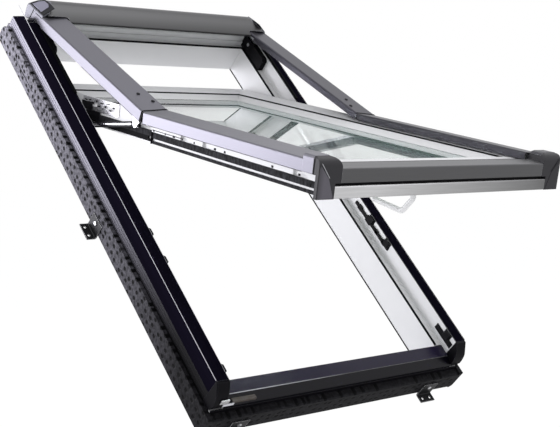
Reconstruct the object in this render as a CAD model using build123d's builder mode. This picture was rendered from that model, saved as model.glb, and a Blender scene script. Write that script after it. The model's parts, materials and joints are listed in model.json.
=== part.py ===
from build123d import *
from math import asin, cos, degrees, radians, sin, sqrt, tan
import os

os.makedirs("parts", exist_ok=True)

# A roof window, lifted and swung open on a roof of 45 degrees.
# Every piece is drawn lying flat with the window closed: X across the window, Y up the roof,
# Z out to the weather, Z = 0 on the frame's outer edge, Y = 0 at the front of its corners.
# Then each body is turned about its own hinge into the open position, and all onto the roof.

# Position of the window as it stands
roof_pitch = 45.0
lift_angle = 16.9
tilt_angle = 18.3

# Fixed frame
frame_width = 740.0
frame_length = 1180.0
frame_depth = 124.0
rail_face = 32.0
rebate_depth = 42.0
seat_width = 18.0
gasket_thick = 1.6
gasket_height = 4.0
top_rail_face = 46.0
skin = 1.6
skin_depth = 39.0
skin_fold = 3.0
strip_sheet = 2.0
head_drop = 44.4
head_slope = 25.0
head_slope_drop = 20.0
lining_groove = 5.0
lining_groove_depth = 12.0
lining_groove_inset = 9.0
wall_thick = 7.0
wall_drop = 2.0
wall_step = 3.0

# Sill and the closed ends of the side rails
sill_drop = 43.0
sill_front = 2.0
sill_inner = 55.0
sill_fold = 25.0
sill_lip_drop = 52.0
sill_lip = 9.0
rail_end = 32.0
block_nose = 14.0
block_toe = 3.5
block_foot = 67.0
block_edge = 5.0

# Insulating collar
collar_thick = 11.0
collar_front = 18.0
collar_back = 10.0
strip_height = 28.3
collar_sill_drop = 72.0
collar_corner = 26.0
collar_chamfer = 6.0
groove_width = 3.0
groove_deep = 3.0
groove_end = 10.0
bent_groove_from_top = 92.0
bent_groove_length = 124.0
bent_groove_step = 8.0
bent_groove_drop = 27.7
straight_grooves_from_top = (287.0, 314.0)

# Roof brackets
bracket_leg = 40.0
bracket_foot = 24.0
bracket_width = 46.0
bracket_sheet = 2.5
bracket_drop = 6.0
bracket_fold = 4.5
bracket_hole = 3.25
bracket_hole_gap = 24.0
bracket_foot_share = 0.62
bracket_side_at = 545.0
bracket_sill_at = 285.0
bracket_top_at = 270.0
bracket_screw_head = 5.0
bracket_screw_rise = 2.4

# Hinge and knee
hinge_from_top = 76.6
hinge_drop = 20.0
hinge_to_knee = 526.8
knee_rise = 7.0
pin_radius = 5.0
pin_fit = 0.1
eye_radius = 11.0
pin_grip = 15.0
housing_length = 112.0
housing_drop = 5.0
housing_corner = 12.0

# Weather covers
cover_setback = 20.0
cover_width = 66.0
cover_sheet = 1.6
cover_top = 27.0
cover_crown = 5.0
cover_inner_side = 17.0
cover_clear = 1.5
cover_fold = 4.0
seam_gap = 9.5
arm_cover_from_hinge = 24.0
cover_nick = 9.0
cover_nick_length = 34.0
cover_tongue = 32.0
cover_tongue_foot = -2.0
hood_lip_from_hinge = 45.4
hood_lip_height = 28.5
hood_lip = 5.0
hood_slope = 22.0
hood_back = 63.0
hood_round = 42.0
hood_foot = -12.0
hood_fold = 2.5
hood_notch = 16.0
hood_notch_corner = 8.0
hood_shoulder = 29.0
hood_slant = 31.0
hood_cap_thick = 6.0
hood_cap_foot = -6.0
hood_end_foot = 5.0
hood_end_bend = 3.0

# Lift arms
arm_from_sash = 5.0
arm_from_rail = 4.2
arm_bottom = 2.0
arm_wall = 2.5
arm_foot = 24.0
lug_thick = 7.6
lug_setback = 18.0

# Sash
sash_setback = 6.0
sash_bottom = 61.0
sash_face = 52.0
sash_top_gap = 31.0
sash_rise = 21.0
sash_back = 43.0
bead_inset = 30.0
bead_drop = 10.0
glass_drop = 6.0
pane = 4.0
pane_gap = 22.0
spacer_width = 12.0
glass_edge = 12.0
bead_gasket = 4.0
flange_gap = 5.0
flange_step = 5.0
flange_ledge = 13.8
flange_foot = 39.8
flange_end_from_knee = 18.6
band_stand = 2.6
band_upper = 15.0
band_upper_height = 13.0
band_lower = 33.0
band_lower_height = 6.5
seal_stand = 3.4
seal_height = 8.0

# Lower edge of the sash
bar_front = 7.6
bar_sheet = 1.8
bar_top = 15.3
bar_top_rise = 2.7
bar_top_depth = 40.0
bar_split = 13.5
bar_gap = 4.8
bar_foot = 42.4
bar_return = 6.0
bar_foot_depth = 18.0
cap_length = 46.0
cap_crown = 35.5
cap_fall = 2.0
cap_front_round = 16.0
cap_corner = 22.0
cap_edge = 5.0
cap_plate = 8.0
cap_wall = 2.5
cap_setback = 8.0
cap_foot_width = 44.0

# Stay arms and their shoes
stay_from_rail = 10.6
stay_radius = 6.0
stay_reach = 201.2
stay_eye = 7.5
stay_eye_thick = 6.0
stay_from_knee = 37.4
stay_pin = 3.5
stay_flat = 17.0
plate_thick = 3.6
plate_eye = 8.5
shoe_length = 34.0
shoe_half = 5.4
track_wall = 1.4
track_height = 11.0
track_before = 61.0
track_after = 48.0

# Catches on the side rails
striker_height = 9.0
striker_sheet = 1.4
striker_top = 14.0
striker_from = 336.0
striker_to = 498.0
catch_top = 2.0
catch_stand = 6.5
catch_height = 15.0
catch_room = 1.5
catch_places = (429.0, 350.0, 61.0)
catch_length = 26.0
pocket_margin = 8.0
corner_striker_from = 34.0
corner_striker_to = 100.0

# Hardware on the sash side and the handle
side_plate_from_knee = 146.4
side_plate_length = 160.0
side_plate_height = 30.0
side_plate_middle = 15.0
side_plate_slots = (34.0, 112.0)
side_plate_bosses = (72.0, 146.0)
side_plate_sheet = 2.2
side_plate_boss = 1.4
handle_at = 83.0
rosette_width = 30.0
rosette_length = 44.0
rosette_thick = 8.0
handle_radius = 6.0
handle_neck = 20.0
handle_stand = 60.0
handle_reach = 112.0

# Screws
screw_shank = 2.2
screw_head = 4.2
screw_head_rise = 1.2
cover_screw_inset = 35.0
cover_screw_up = 86.0
cover_screw_pitch = 38.0

# Clearances
seat_clear = 0.3
run_clear = 0.5

# Places worked out from the sizes
half_width = frame_width / 2
rebate_half = half_width - rail_face
aperture_half = rebate_half - seat_width
cover_half = half_width - cover_setback
cover_inner = cover_half - cover_width
cover_screw_half = cover_half - cover_screw_inset
sash_half = aperture_half - sash_setback
flange_half = rebate_half - flange_gap
flange_seat = flange_half - flange_step
arm_inner = sash_half + arm_from_sash
arm_outer = rebate_half - arm_from_rail
stay_x = rebate_half - stay_from_rail
cap_inner = cover_inner + cap_setback
bar_half = cover_half - cap_foot_width
core_half = half_width - skin
core_front = sill_front + skin
core_back = frame_length - skin
rebate_top = frame_length - top_rail_face
aperture_top = rebate_top - seat_width
head_wall = rebate_top + 4.0
head_start = head_wall - head_slope
collar_half = core_half + collar_thick
collar_top = -skin_depth - strip_height
hinge_y = frame_length - hinge_from_top
hinge_z = -hinge_drop
knee_y = hinge_y - hinge_to_knee
knee_z = knee_rise
side_plate_from = knee_y + side_plate_from_knee
sash_end = aperture_top - sash_top_gap
sight_half = sash_half - sash_face
sight_bottom = sash_bottom + sash_face
sight_top = sash_end - sash_face
stay_eye_y = knee_y + stay_from_knee
shoe_y = stay_eye_y + stay_reach
edge_y = sill_front + 18.0

# Where the stays stand when the arms are lifted
stay_lever = hinge_y - stay_eye_y
stay_rise = stay_lever * sin(radians(lift_angle))
stay_angle = degrees(asin(stay_rise / stay_reach))
shoe_travel = shoe_y - (hinge_y - stay_lever * cos(radians(lift_angle)) + sqrt(stay_reach**2 - stay_rise**2))


def turned_about(y, z, angle):
    """A turn about an axis across the window."""
    return Location((0, y, z)) * Location((0, 0, 0), (angle, 0, 0)) * Location((0, -y, -z))


# The origin is on the frame's room edge at the middle of the sill
on_frame = Location((0, 0, 0), (roof_pitch, 0, 0)) * Location((0, -edge_y, frame_depth))
on_yoke = on_frame * turned_about(hinge_y, hinge_z, -lift_angle)
on_sash = on_yoke * turned_about(knee_y, knee_z, -tilt_angle)
on_shoe = on_frame * Location((0, -shoe_travel, 0))
on_stay = on_shoe * turned_about(shoe_y, hinge_z, -stay_angle)


def save(piece, label, place):
    """Move a piece into the open window and write it."""
    piece.part.move(place)
    piece.part.label = label
    export_step(piece.part, f"parts/{label}.step")


def save_pair(piece, label, place):
    """Write a right-hand piece and its mirror image."""
    with BuildPart() as twin:
        add(piece.part)
        mirror(about=Plane.YZ, mode=Mode.REPLACE)
    save(twin, f"{label}_left", place)
    save(piece, f"{label}_right", place)


def save_both(piece, label, place):
    """Write a right-hand piece and its mirror image as one group."""
    with BuildPart() as both:
        add(piece.part)
        mirror(about=Plane.YZ)
    save(both, label, place)


def rectangle_between(x0, y0, x1, y1, mode=Mode.ADD):
    """A rectangle from corner to corner."""
    with Locations(((x0 + x1) / 2, (y0 + y1) / 2)):
        Rectangle(x1 - x0, y1 - y0, mode=mode)


def block(x0, x1, y0, y1, z0, z1, mode=Mode.ADD):
    """A plain block from corner to corner."""
    with Locations(((x0 + x1) / 2, (y0 + y1) / 2, (z0 + z1) / 2)):
        Box(x1 - x0, y1 - y0, z1 - z0, mode=mode)


def lengthways(points, x0, x1, mode=Mode.ADD):
    """A prism across the window, from an outline seen from the side."""
    with BuildSketch(Plane.YZ.offset(x0)) as outline:
        with BuildLine():
            Polyline(*points, close=True)
        make_face()
    extrude(outline.sketch, amount=x1 - x0, mode=mode)


def crossways(points, y0, y1, mode=Mode.ADD):
    """A prism up the roof, from an outline seen from the sill."""
    with BuildSketch(Plane.XZ.offset(-y1)) as outline:
        with BuildLine():
            Polyline(*points, close=True)
        make_face()
    extrude(outline.sketch, amount=y1 - y0, mode=mode)


def folded_across(points, sheet, fold, x0, x1, side=Side.LEFT):
    """A folded sheet across the window, from its outer line seen from the side."""
    with BuildSketch(Plane.YZ.offset(x0)) as outline:
        with BuildLine():
            FilletPolyline(*points, radius=fold)
            offset(amount=sheet, side=side)
        make_face()
    extrude(outline.sketch, amount=x1 - x0)


def folded_along(points, sheet, fold, y0, y1, side=Side.LEFT):
    """A folded sheet up the roof, from its outer line seen from the sill."""
    with BuildSketch(Plane.XZ.offset(-y1)) as outline:
        with BuildLine():
            FilletPolyline(*points, radius=fold)
            offset(amount=sheet, side=side)
        make_face()
    extrude(outline.sketch, amount=y1 - y0)


def disc_across(y, z, radius, x0, x1, mode=Mode.ADD):
    """A round bar or hole across the window."""
    with BuildSketch(Plane.YZ.offset(x0)) as disc:
        with Locations((y, z)):
            Circle(radius)
    extrude(disc.sketch, amount=x1 - x0, mode=mode)


# Frame profile: a ring with its seat, its rebate and the upstanding rails
head_cut = [
    (head_start, skin),
    (head_start, 0),
    (head_wall, -head_slope_drop),
    (head_wall, -head_drop - skin),
    (core_back - skin_fold, -head_drop - skin),
    (core_back, -head_drop - skin - skin_fold),
    (frame_length + skin, -head_drop - skin - skin_fold),
    (frame_length + skin, skin),
]
with BuildPart() as frame_profile:
    with BuildSketch(Plane.XY.offset(-frame_depth)):
        rectangle_between(-core_half, core_front, core_half, core_back)
        rectangle_between(-aperture_half, sill_inner, aperture_half, aperture_top, Mode.SUBTRACT)
    extrude(amount=frame_depth - rebate_depth)
    with BuildSketch(Plane.XY.offset(-rebate_depth)):
        rectangle_between(-core_half, rail_end, core_half, core_back)
        rectangle_between(-rebate_half, rail_end, rebate_half, rebate_top, Mode.SUBTRACT)
    extrude(amount=rebate_depth - skin)
    for mark in (-1, 1):
        corner = [
            (mark * core_half, -skin),
            (mark * (core_half - skin_fold), -skin),
            (mark * core_half, -skin - skin_fold),
        ]
        crossways(corner, rail_end, core_back, Mode.SUBTRACT)
    sill_cut = [
        (0, 0),
        (0, -sill_lip_drop - skin - seat_clear),
        (core_front, -sill_lip_drop - skin - seat_clear),
        (sill_fold, -sill_drop - 1.0 - skin - seat_clear),
        (sill_inner - skin, -sill_drop - skin - seat_clear),
        (sill_inner, -sill_drop - 2 * skin),
        (sill_inner, 0),
    ]
    lengthways(sill_cut, -rebate_half, rebate_half, Mode.SUBTRACT)
    block(-rebate_half, rebate_half, sill_inner, sill_inner + skin + seat_clear,
          -sill_drop - sill_lip - seat_clear, 0, Mode.SUBTRACT)
    lengthways(head_cut, -half_width, half_width, Mode.SUBTRACT)
    block(rebate_half, half_width, 0, rail_end, -block_foot, 0, Mode.SUBTRACT)
    block(-half_width, -rebate_half, 0, rail_end, -block_foot, 0, Mode.SUBTRACT)
    with BuildSketch(Plane.XY.offset(-frame_depth)):
        inset = lining_groove_inset + lining_groove
        rectangle_between(-aperture_half - inset, sill_inner - inset, aperture_half + inset, aperture_top + inset)
        inset = lining_groove_inset
        rectangle_between(
            -aperture_half - inset, sill_inner - inset, aperture_half + inset, aperture_top + inset, Mode.SUBTRACT
        )
    extrude(amount=lining_groove_depth, mode=Mode.SUBTRACT)
save(frame_profile, "frame_profile", on_frame)

# Side cladding: a folded skin over each side rail, cut away under the hood
with BuildPart() as side_cladding:
    skin_line = [(half_width, -skin_depth), (half_width, 0), (rebate_half, 0)]
    folded_along(skin_line, skin, skin_fold, rail_end, core_back)
    block(rebate_half, core_half, head_start, core_back, -skin_fold - skin, 0, Mode.SUBTRACT)
    slope_cut = [(head_wall - skin_fold, 0), (core_back, skin - skin_depth), (core_back, 0)]
    lengthways(slope_cut, core_half, half_width, Mode.SUBTRACT)
save_pair(side_cladding, "side_cladding", on_frame)

# Head cladding: a folded skin over the low top rail
with BuildPart() as head_cladding:
    head_line = [(head_wall, -head_drop), (frame_length, -head_drop), (frame_length, collar_top)]
    folded_across(head_line, skin, skin_fold, -core_half, core_half, Side.RIGHT)
save(head_cladding, "head_cladding", on_frame)

# Stepped profile on the wall of the rebate under the hood
with BuildPart() as head_wall_profile:
    front = rebate_top - wall_thick
    wall_line = [
        (rebate_top, -rebate_depth),
        (front, -rebate_depth),
        (front, -0.7 * rebate_depth),
        (front + wall_step, -0.7 * rebate_depth),
        (front + wall_step, -0.35 * rebate_depth),
        (front + wall_step + 1.5, -0.35 * rebate_depth),
        (front + wall_step + 1.5, -wall_drop),
        (rebate_top, -wall_drop),
    ]
    lengthways(wall_line, -aperture_half, aperture_half)
save(head_wall_profile, "head_wall_profile", on_frame)

# Sill cladding: one folded sheet that drains over the front
with BuildPart() as sill_cladding:
    sill_line = [
        (sill_inner + skin, -sill_drop - sill_lip),
        (sill_inner + skin, -sill_drop),
        (sill_fold, -sill_drop - 1.0),
        (sill_front, -sill_lip_drop),
        (sill_front, -sill_lip_drop - sill_lip),
    ]
    folded_across(sill_line, skin, skin_fold - skin / 2, -rebate_half, rebate_half)
save(sill_cladding, "sill_cladding", on_frame)

# Ribbed strip between the cladding and the collar on each side
with BuildPart() as side_strip:
    strip_low = collar_top
    strip_high = -skin_depth
    block(core_half, core_half + strip_sheet, rail_end, frame_length, strip_low, strip_high)
    for step in range(1, 4):
        rib_z = strip_low + (strip_high - strip_low) * step / 4
        block(core_half + strip_sheet - 0.5, half_width + strip_sheet, rail_end, frame_length,
              rib_z - 0.6, rib_z + 0.6, Mode.SUBTRACT)
save_both(side_strip, "side_strips", on_frame)

# Moulded blocks that close the front ends of the side rails
with BuildPart() as corner_block:
    with BuildSketch(Plane.YZ.offset(rebate_half)):
        with BuildLine():
            nose = Line((rail_end - block_edge, 0), (rail_end - block_edge - 12.0, -block_nose))
            toe = Line((block_toe, -block_foot + block_nose), (block_toe + 5.5, -block_foot))
            ThreePointArc(nose @ 1, (block_toe + 3.5, -block_nose - 16.0), toe @ 0)
            Polyline(toe @ 1, (rail_end, -block_foot), (rail_end, 0), nose @ 0)
        make_face()
    extrude(amount=rail_face + seat_clear)
    outer = corner_block.faces().sort_by(Axis.X)[-1]
    chamfer(outer.edges().sort_by(Axis.Z)[-2:], length=block_edge / 2)
save_pair(corner_block, "corner_block", on_frame)

# Thin gasket round the seat, open at the sill
with BuildPart() as frame_gasket:
    with BuildSketch(Plane.XY.offset(-rebate_depth - gasket_height)):
        low = sill_inner + 2 * skin
        rectangle_between(-aperture_half, low, aperture_half, aperture_top)
        inner = aperture_half - gasket_thick
        rectangle_between(-inner, low - skin, inner, aperture_top - gasket_thick, Mode.SUBTRACT)
    extrude(amount=gasket_height + gasket_thick)
save(frame_gasket, "frame_gasket", on_frame)


# Insulating collar of four foam bars round the frame's lower half
def groove(points, x):
    """A narrow groove in the outer face of a side bar."""
    with BuildSketch(Plane.YZ.offset(x)) as line:
        with BuildLine():
            Polyline(*points)
        trace(line_width=groove_width)
    extrude(line.sketch, amount=-groove_deep, mode=Mode.SUBTRACT)


with BuildPart() as insulation_side:
    side_line = [
        (core_half, collar_top),
        (core_half, -frame_depth),
        (collar_half - collar_chamfer, -frame_depth),
        (collar_half, -frame_depth + collar_chamfer),
        (collar_half, collar_top),
    ]
    crossways(side_line, sill_front - collar_front, frame_length + collar_back)
    back_edge = insulation_side.edges().filter_by(Axis.X).group_by(Axis.Y)[-1].sort_by(Axis.Z)[-1]
    fillet(back_edge, radius=collar_corner)
    bend_y = frame_length - bent_groove_from_top
    bend_z = collar_top - bent_groove_drop
    groove([(bend_y, collar_top - bent_groove_drop / 2), (bend_y - bent_groove_step, bend_z),
            (bend_y - bent_groove_length, bend_z)], collar_half)
    for from_top in straight_grooves_from_top:
        line_y = frame_length - from_top
        groove([(line_y, collar_top - groove_width), (line_y, groove_end - frame_depth)], collar_half)
save_pair(insulation_side, "insulation", on_frame)

with BuildPart() as insulation_sill:
    block(-core_half, core_half, sill_front - collar_front, sill_front, -frame_depth, -collar_sill_drop)
    chamfer(insulation_sill.edges().filter_by(Axis.X).group_by(Axis.Y)[0], length=collar_chamfer / 2)
save(insulation_sill, "insulation_sill", on_frame)

with BuildPart() as insulation_head:
    block(-core_half, core_half, frame_length, frame_length + collar_back, -frame_depth, collar_top)
    chamfer(insulation_head.edges().filter_by(Axis.X).group_by(Axis.Y)[-1], length=collar_chamfer / 2)
save(insulation_head, "insulation_head", on_frame)

# Angle brackets that the frame is screwed to the roof with
foot_z = -frame_depth - bracket_drop


def bracket_holes(x, y, dx, dy):
    """Two screw holes through a bracket's foot."""
    with BuildSketch(Plane.XY.offset(foot_z)) as holes:
        with Locations((x - dx, y - dy), (x + dx, y + dy)):
            Circle(bracket_hole)
    extrude(holes.sketch, amount=bracket_sheet, mode=Mode.SUBTRACT)


with BuildPart() as side_bracket:
    bracket_line = [
        (collar_half, foot_z + bracket_leg),
        (collar_half, foot_z),
        (collar_half + bracket_foot, foot_z),
    ]
    folded_along(bracket_line, bracket_sheet, bracket_fold, bracket_side_at - bracket_width / 2,
                 bracket_side_at + bracket_width / 2)
    bracket_holes(collar_half + bracket_foot * bracket_foot_share, bracket_side_at, 0, bracket_hole_gap / 2)
save_both(side_bracket, "side_brackets", on_frame)

with BuildPart() as sill_brackets:
    leg_y = sill_front - collar_front
    bracket_line = [(leg_y, foot_z + bracket_leg), (leg_y, foot_z), (leg_y - bracket_foot, foot_z)]
    for middle in (-bracket_sill_at, bracket_sill_at):
        folded_across(bracket_line, bracket_sheet, bracket_fold, middle - bracket_width / 2,
                      middle + bracket_width / 2, Side.RIGHT)
        bracket_holes(middle, leg_y - bracket_foot * bracket_foot_share, bracket_hole_gap / 2, 0)
save(sill_brackets, "sill_brackets", on_frame)

with BuildPart() as head_brackets:
    leg_y = frame_length + collar_back
    bracket_line = [(leg_y, foot_z + bracket_leg), (leg_y, foot_z), (leg_y + bracket_foot, foot_z)]
    for middle in (-bracket_top_at, bracket_top_at):
        folded_across(bracket_line, bracket_sheet, bracket_fold, middle - bracket_width / 2,
                      middle + bracket_width / 2)
        bracket_holes(middle, leg_y + bracket_foot * bracket_foot_share, bracket_hole_gap / 2, 0)
save(head_brackets, "head_brackets", on_frame)

# Hinge housings in the corners of the rebate, slotted for the arms' lugs
housing_inner = aperture_half + run_clear
housing_outer = rebate_half - run_clear
lug_inner = arm_outer - seat_clear * 2 - lug_thick
lug_outer = arm_outer - seat_clear * 2
with BuildPart() as hinge_housing:
    with BuildSketch(Plane.YZ.offset(housing_inner)):
        rectangle_between(rebate_top - housing_length, -rebate_depth, rebate_top, -housing_drop)
        fillet(vertices().sort_by(Axis.X)[:2].sort_by(Axis.Y)[-1], radius=housing_corner)
    extrude(amount=housing_outer - housing_inner)
    slot_low = hinge_z - eye_radius - 2.0
    slot_front = hinge_y - eye_radius - 16.0
    slot_back = hinge_y + eye_radius + 7.0
    block(lug_inner - run_clear, lug_outer + run_clear, slot_front, slot_back, slot_low, 0, Mode.SUBTRACT)
    disc_across(hinge_y, hinge_z, pin_radius, housing_inner, housing_outer, Mode.SUBTRACT)
save_pair(hinge_housing, "hinge_housing", on_frame)

# Hinge pins, held in both cheeks of their housings
with BuildPart() as hinge_pins:
    disc_across(hinge_y, hinge_z, pin_radius, housing_inner, housing_outer)
    disc_across(hinge_y, hinge_z, pin_radius, -housing_outer, -housing_inner)
save(hinge_pins, "hinge_pins", on_frame)

# Soft strips on the side rails that the arm covers close against
with BuildPart() as rail_seals:
    for mark in (-1, 1):
        with BuildSketch(Plane.XZ.offset(-head_start + 20.0)):
            with Locations((mark * (rebate_half + 4.0), 0)):
                Rectangle(7.0, 4.6, align=(Align.CENTER, Align.MIN))
            fillet(vertices().sort_by(Axis.Y)[-2:], radius=2.0)
        extrude(amount=232.0)
save(rail_seals, "rail_seals", on_frame)

# Keeper bars and their catches on the rebate walls
with BuildPart() as striker:
    block(rebate_half - striker_sheet, rebate_half, striker_from, striker_to,
          -striker_top - striker_height, -striker_top)
    block(rebate_half - striker_sheet, rebate_half, corner_striker_from, corner_striker_to,
          -striker_top - striker_height - 6.0, -striker_top)
    for catch_y in catch_places:
        with BuildSketch(Plane.XY.offset(-catch_top - catch_height)):
            with BuildLine():
                Polyline(
                    (rebate_half, catch_y - catch_length / 2),
                    (rebate_half - catch_stand, catch_y - catch_length / 2 + 5.0),
                    (rebate_half - catch_stand, catch_y + catch_length / 2 - 5.0),
                    (rebate_half, catch_y + catch_length / 2),
                    close=True,
                )
            make_face()
        extrude(amount=catch_height)
save_both(striker, "strikers", on_frame)

# Guide tracks in the rebate, in which the shoes of the stays slide
track_half = shoe_half + run_clear + track_wall
with BuildPart() as guide_track:
    track_low = -rebate_depth
    track_line = [
        (stay_x - track_half, track_low),
        (stay_x + track_half, track_low),
        (stay_x + track_half, track_low + track_height),
        (stay_x + shoe_half - 2.5, track_low + track_height),
        (stay_x + shoe_half - 2.5, track_low + track_height - track_wall),
        (stay_x + shoe_half + run_clear, track_low + track_height - track_wall),
        (stay_x + shoe_half + run_clear, track_low + track_wall),
        (stay_x - shoe_half - run_clear, track_low + track_wall),
        (stay_x - shoe_half - run_clear, track_low + track_height - track_wall),
        (stay_x - shoe_half + 2.5, track_low + track_height - track_wall),
        (stay_x - shoe_half + 2.5, track_low + track_height),
        (stay_x - track_half, track_low + track_height),
    ]
    crossways(track_line, shoe_y - shoe_travel - track_before, shoe_y + track_after)
save_pair(guide_track, "guide_track", on_frame)

# Bracket screws through the legs into the collar and the frame
with BuildPart() as bracket_screws:
    screw_z = foot_z + bracket_leg * 0.7
    for mark in (-1, 1):
        outer_x = mark * (collar_half + bracket_sheet)
        with Locations(Plane((outer_x, bracket_side_at, screw_z), z_dir=(mark, 0, 0))):
            Cylinder(bracket_screw_head, bracket_screw_rise, align=(Align.CENTER, Align.CENTER, Align.MIN))
        outer_y = sill_front - collar_front - bracket_sheet
        with Locations(Plane((mark * bracket_sill_at, outer_y, screw_z), z_dir=(0, -1, 0))):
            Cylinder(bracket_screw_head, bracket_screw_rise, align=(Align.CENTER, Align.CENTER, Align.MIN))
        outer_y = frame_length + collar_back + bracket_sheet
        with Locations(Plane((mark * bracket_top_at, outer_y, screw_z), z_dir=(0, 1, 0))):
            Cylinder(bracket_screw_head, bracket_screw_rise, align=(Align.CENTER, Align.CENTER, Align.MIN))
save(bracket_screws, "bracket_screws", on_frame)

# Hood: one folded sheet from its lip up a slope, over the top and down the back
arm_cover_start = knee_y + seam_gap / 2
arm_cover_end = hinge_y - arm_cover_from_hinge
hood_half = cover_half - cover_sheet - seat_clear
hood_lip_y = hinge_y - hood_lip_from_hinge
hood_back_y = hinge_y + hood_back
hood_rise = tan(radians(hood_slope))
hood_corner = (hood_back_y, hood_lip_height + (hood_back_y - hood_lip_y) * hood_rise)
hood_crown = hood_corner[1] - hood_round * tan(radians(45.0 + hood_slope / 2)) + hood_round


def hood_end(z, inset):
    """How far the hood reaches to the side above its shoulder, where its end leans in."""
    return hood_half - inset - hood_slant * (z - hood_shoulder) / (hood_crown - hood_shoulder)


def hood_end_line(reach, inset):
    """The outline of what lies beyond or within the leaning end, seen from the sill."""
    high = hood_crown + 5.0
    low = hood_foot - 5.0
    return [
        (hood_half - inset, low),
        (hood_half - inset, hood_shoulder),
        (hood_end(high, inset), high),
        (reach, high),
        (reach, low),
    ]


with BuildPart() as hood_cover:
    hood_line = [
        (hood_lip_y, hood_lip_height - hood_lip),
        (hood_lip_y, hood_lip_height),
        hood_corner,
        (hood_back_y, hood_foot),
    ]
    folded_across(hood_line, cover_sheet, [hood_fold, hood_round], 0, hood_half - hood_cap_thick, Side.RIGHT)
    beyond_cap = hood_end_line(cover_half + 5.0, hood_cap_thick)
    crossways(beyond_cap, hood_lip_y - 5.0, hood_back_y + 5.0, Mode.SUBTRACT)
    with BuildSketch(Plane.XY):
        rectangle_between(cover_inner - cover_clear, hood_lip_y - hood_notch, cover_half, hood_lip_y + hood_notch)
        fillet(vertices().group_by(Axis.Y)[-1].sort_by(Axis.X)[0], radius=hood_notch_corner)
    extrude(amount=hood_crown, mode=Mode.SUBTRACT)
    mirror(about=Plane.YZ)
save(hood_cover, "hood_cover", on_yoke)

# End caps of the hood, which lean in above the shoulder
with BuildPart() as hood_cap:
    cap_front = arm_cover_end + cover_clear
    with BuildSketch(Plane.YZ.offset(hood_end(hood_crown, hood_cap_thick) - cap_wall)):
        with BuildLine():
            over = FilletPolyline(
                (cap_front, hood_lip_height + (cap_front - hood_lip_y) * hood_rise),
                hood_corner,
                (hood_back_y, hood_cap_foot),
                radius=hood_round,
            )
            Polyline(
                over @ 1,
                (head_wall, hood_cap_foot),
                (head_start + hood_end_bend, hood_end_foot),
                (cap_front, hood_end_foot),
                over @ 0,
            )
        make_face()
    extrude(amount=hood_half - hood_end(hood_crown, hood_cap_thick) + cap_wall)
    crossways(hood_end_line(cover_half + 5.0, 0), hood_lip_y, hood_back_y + 5.0, Mode.SUBTRACT)
    crossways(hood_end_line(0, hood_cap_thick), hood_lip_y, hood_back_y + 5.0, Mode.SUBTRACT)
save_pair(hood_cap, "hood_cap", on_yoke)

# Covers of the lift arms: folded sheet, crowned towards the glass
cover_line = [
    (cover_half, cover_clear),
    (cover_half, cover_top),
    (cover_inner, cover_top + cover_crown),
    (cover_inner, cover_top + cover_crown - cover_inner_side),
]


def cover_height(x):
    """Height of the under side of a cover's top at a distance from the middle."""
    return cover_top + cover_crown * (cover_half - x) / (cover_half - cover_inner) - cover_sheet


def cover_screw_places():
    """Where the screws go through each arm cover."""
    first = knee_y + cover_screw_up
    return [(cover_screw_half, first), (cover_screw_half - 16.0, first - cover_screw_pitch)]


arm_top = cover_height(arm_outer) - seat_clear
screw_tilt = screw_head * cover_crown / (cover_half - cover_inner)
with BuildPart() as arm_cover:
    folded_along(cover_line, cover_sheet, cover_fold, arm_cover_start, arm_cover_end)
    nick_top = cover_top + cover_crown - cover_inner_side + cover_nick
    block(cover_inner, cover_inner + cover_sheet, arm_cover_end - cover_nick_length, arm_cover_end,
          0, nick_top, Mode.SUBTRACT)
    tongue_end = hinge_y + cover_tongue
    tongue_line = [
        (arm_cover_end, hood_end_foot),
        (head_start + hood_end_bend, hood_end_foot),
        (tongue_end, cover_tongue_foot),
        (tongue_end - 5.0, 0.4 * cover_top),
        (tongue_end - 20.0, cover_top - cover_fold),
        (arm_cover_end, cover_top - cover_fold),
    ]
    lengthways(tongue_line, cover_half - cover_sheet, cover_half)
    with BuildSketch(Plane.XY.offset(arm_top)):
        with Locations(*cover_screw_places()):
            Circle(screw_shank + pin_fit)
    extrude(amount=cover_top, mode=Mode.SUBTRACT)
save_pair(arm_cover, "arm_cover", on_yoke)

# Lift arms: a channel from the hinge's lug to the eye at the knee, with a plate for the stay's upper eye
arm_end = hinge_y - lug_setback
with BuildPart() as lift_arm:
    arm_line = [
        (knee_y - 1.0, knee_z - eye_radius),
        (knee_y + arm_foot, arm_bottom),
        (arm_end, arm_bottom),
        (arm_end, arm_top),
        (knee_y + arm_foot, arm_top),
        (knee_y - 1.0, knee_z + eye_radius),
    ]
    lengthways(arm_line, arm_inner, arm_outer)
    disc_across(knee_y, knee_z, eye_radius, arm_inner, arm_outer)
    block(arm_inner + arm_wall, arm_outer - arm_wall, knee_y + arm_foot + 10.0, arm_end - 12.0,
          arm_bottom, arm_top - arm_wall, Mode.SUBTRACT)
    lug_line = [
        (arm_end - 8.0, arm_bottom),
        (hinge_y - eye_radius, hinge_z),
        (hinge_y + eye_radius, hinge_z),
        (hinge_y + eye_radius - 2.0, 8.0),
        (arm_end - 1.0, arm_top),
    ]
    lengthways(lug_line, lug_inner, lug_outer)
    disc_across(hinge_y, hinge_z, eye_radius, lug_inner, lug_outer)
    disc_across(hinge_y, hinge_z, pin_radius + pin_fit, lug_inner, lug_outer, Mode.SUBTRACT)
    disc_across(knee_y, knee_z, pin_radius, arm_inner, arm_outer, Mode.SUBTRACT)
    plate_line = [
        (stay_eye_y - 18.0, arm_top - 6.0),
        (stay_eye_y - 18.0, arm_bottom),
        (stay_eye_y - plate_eye, hinge_z),
        (stay_eye_y + plate_eye, hinge_z),
        (stay_eye_y + 26.0, arm_bottom),
        (stay_eye_y + 26.0, arm_top - 6.0),
    ]
    lengthways(plate_line, arm_outer, arm_outer + plate_thick)
    disc_across(stay_eye_y, hinge_z, plate_eye, arm_outer, arm_outer + plate_thick)
    disc_across(stay_eye_y, hinge_z, stay_pin + 1.0, stay_x + stay_eye_thick / 2 + run_clear, arm_outer)
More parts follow.
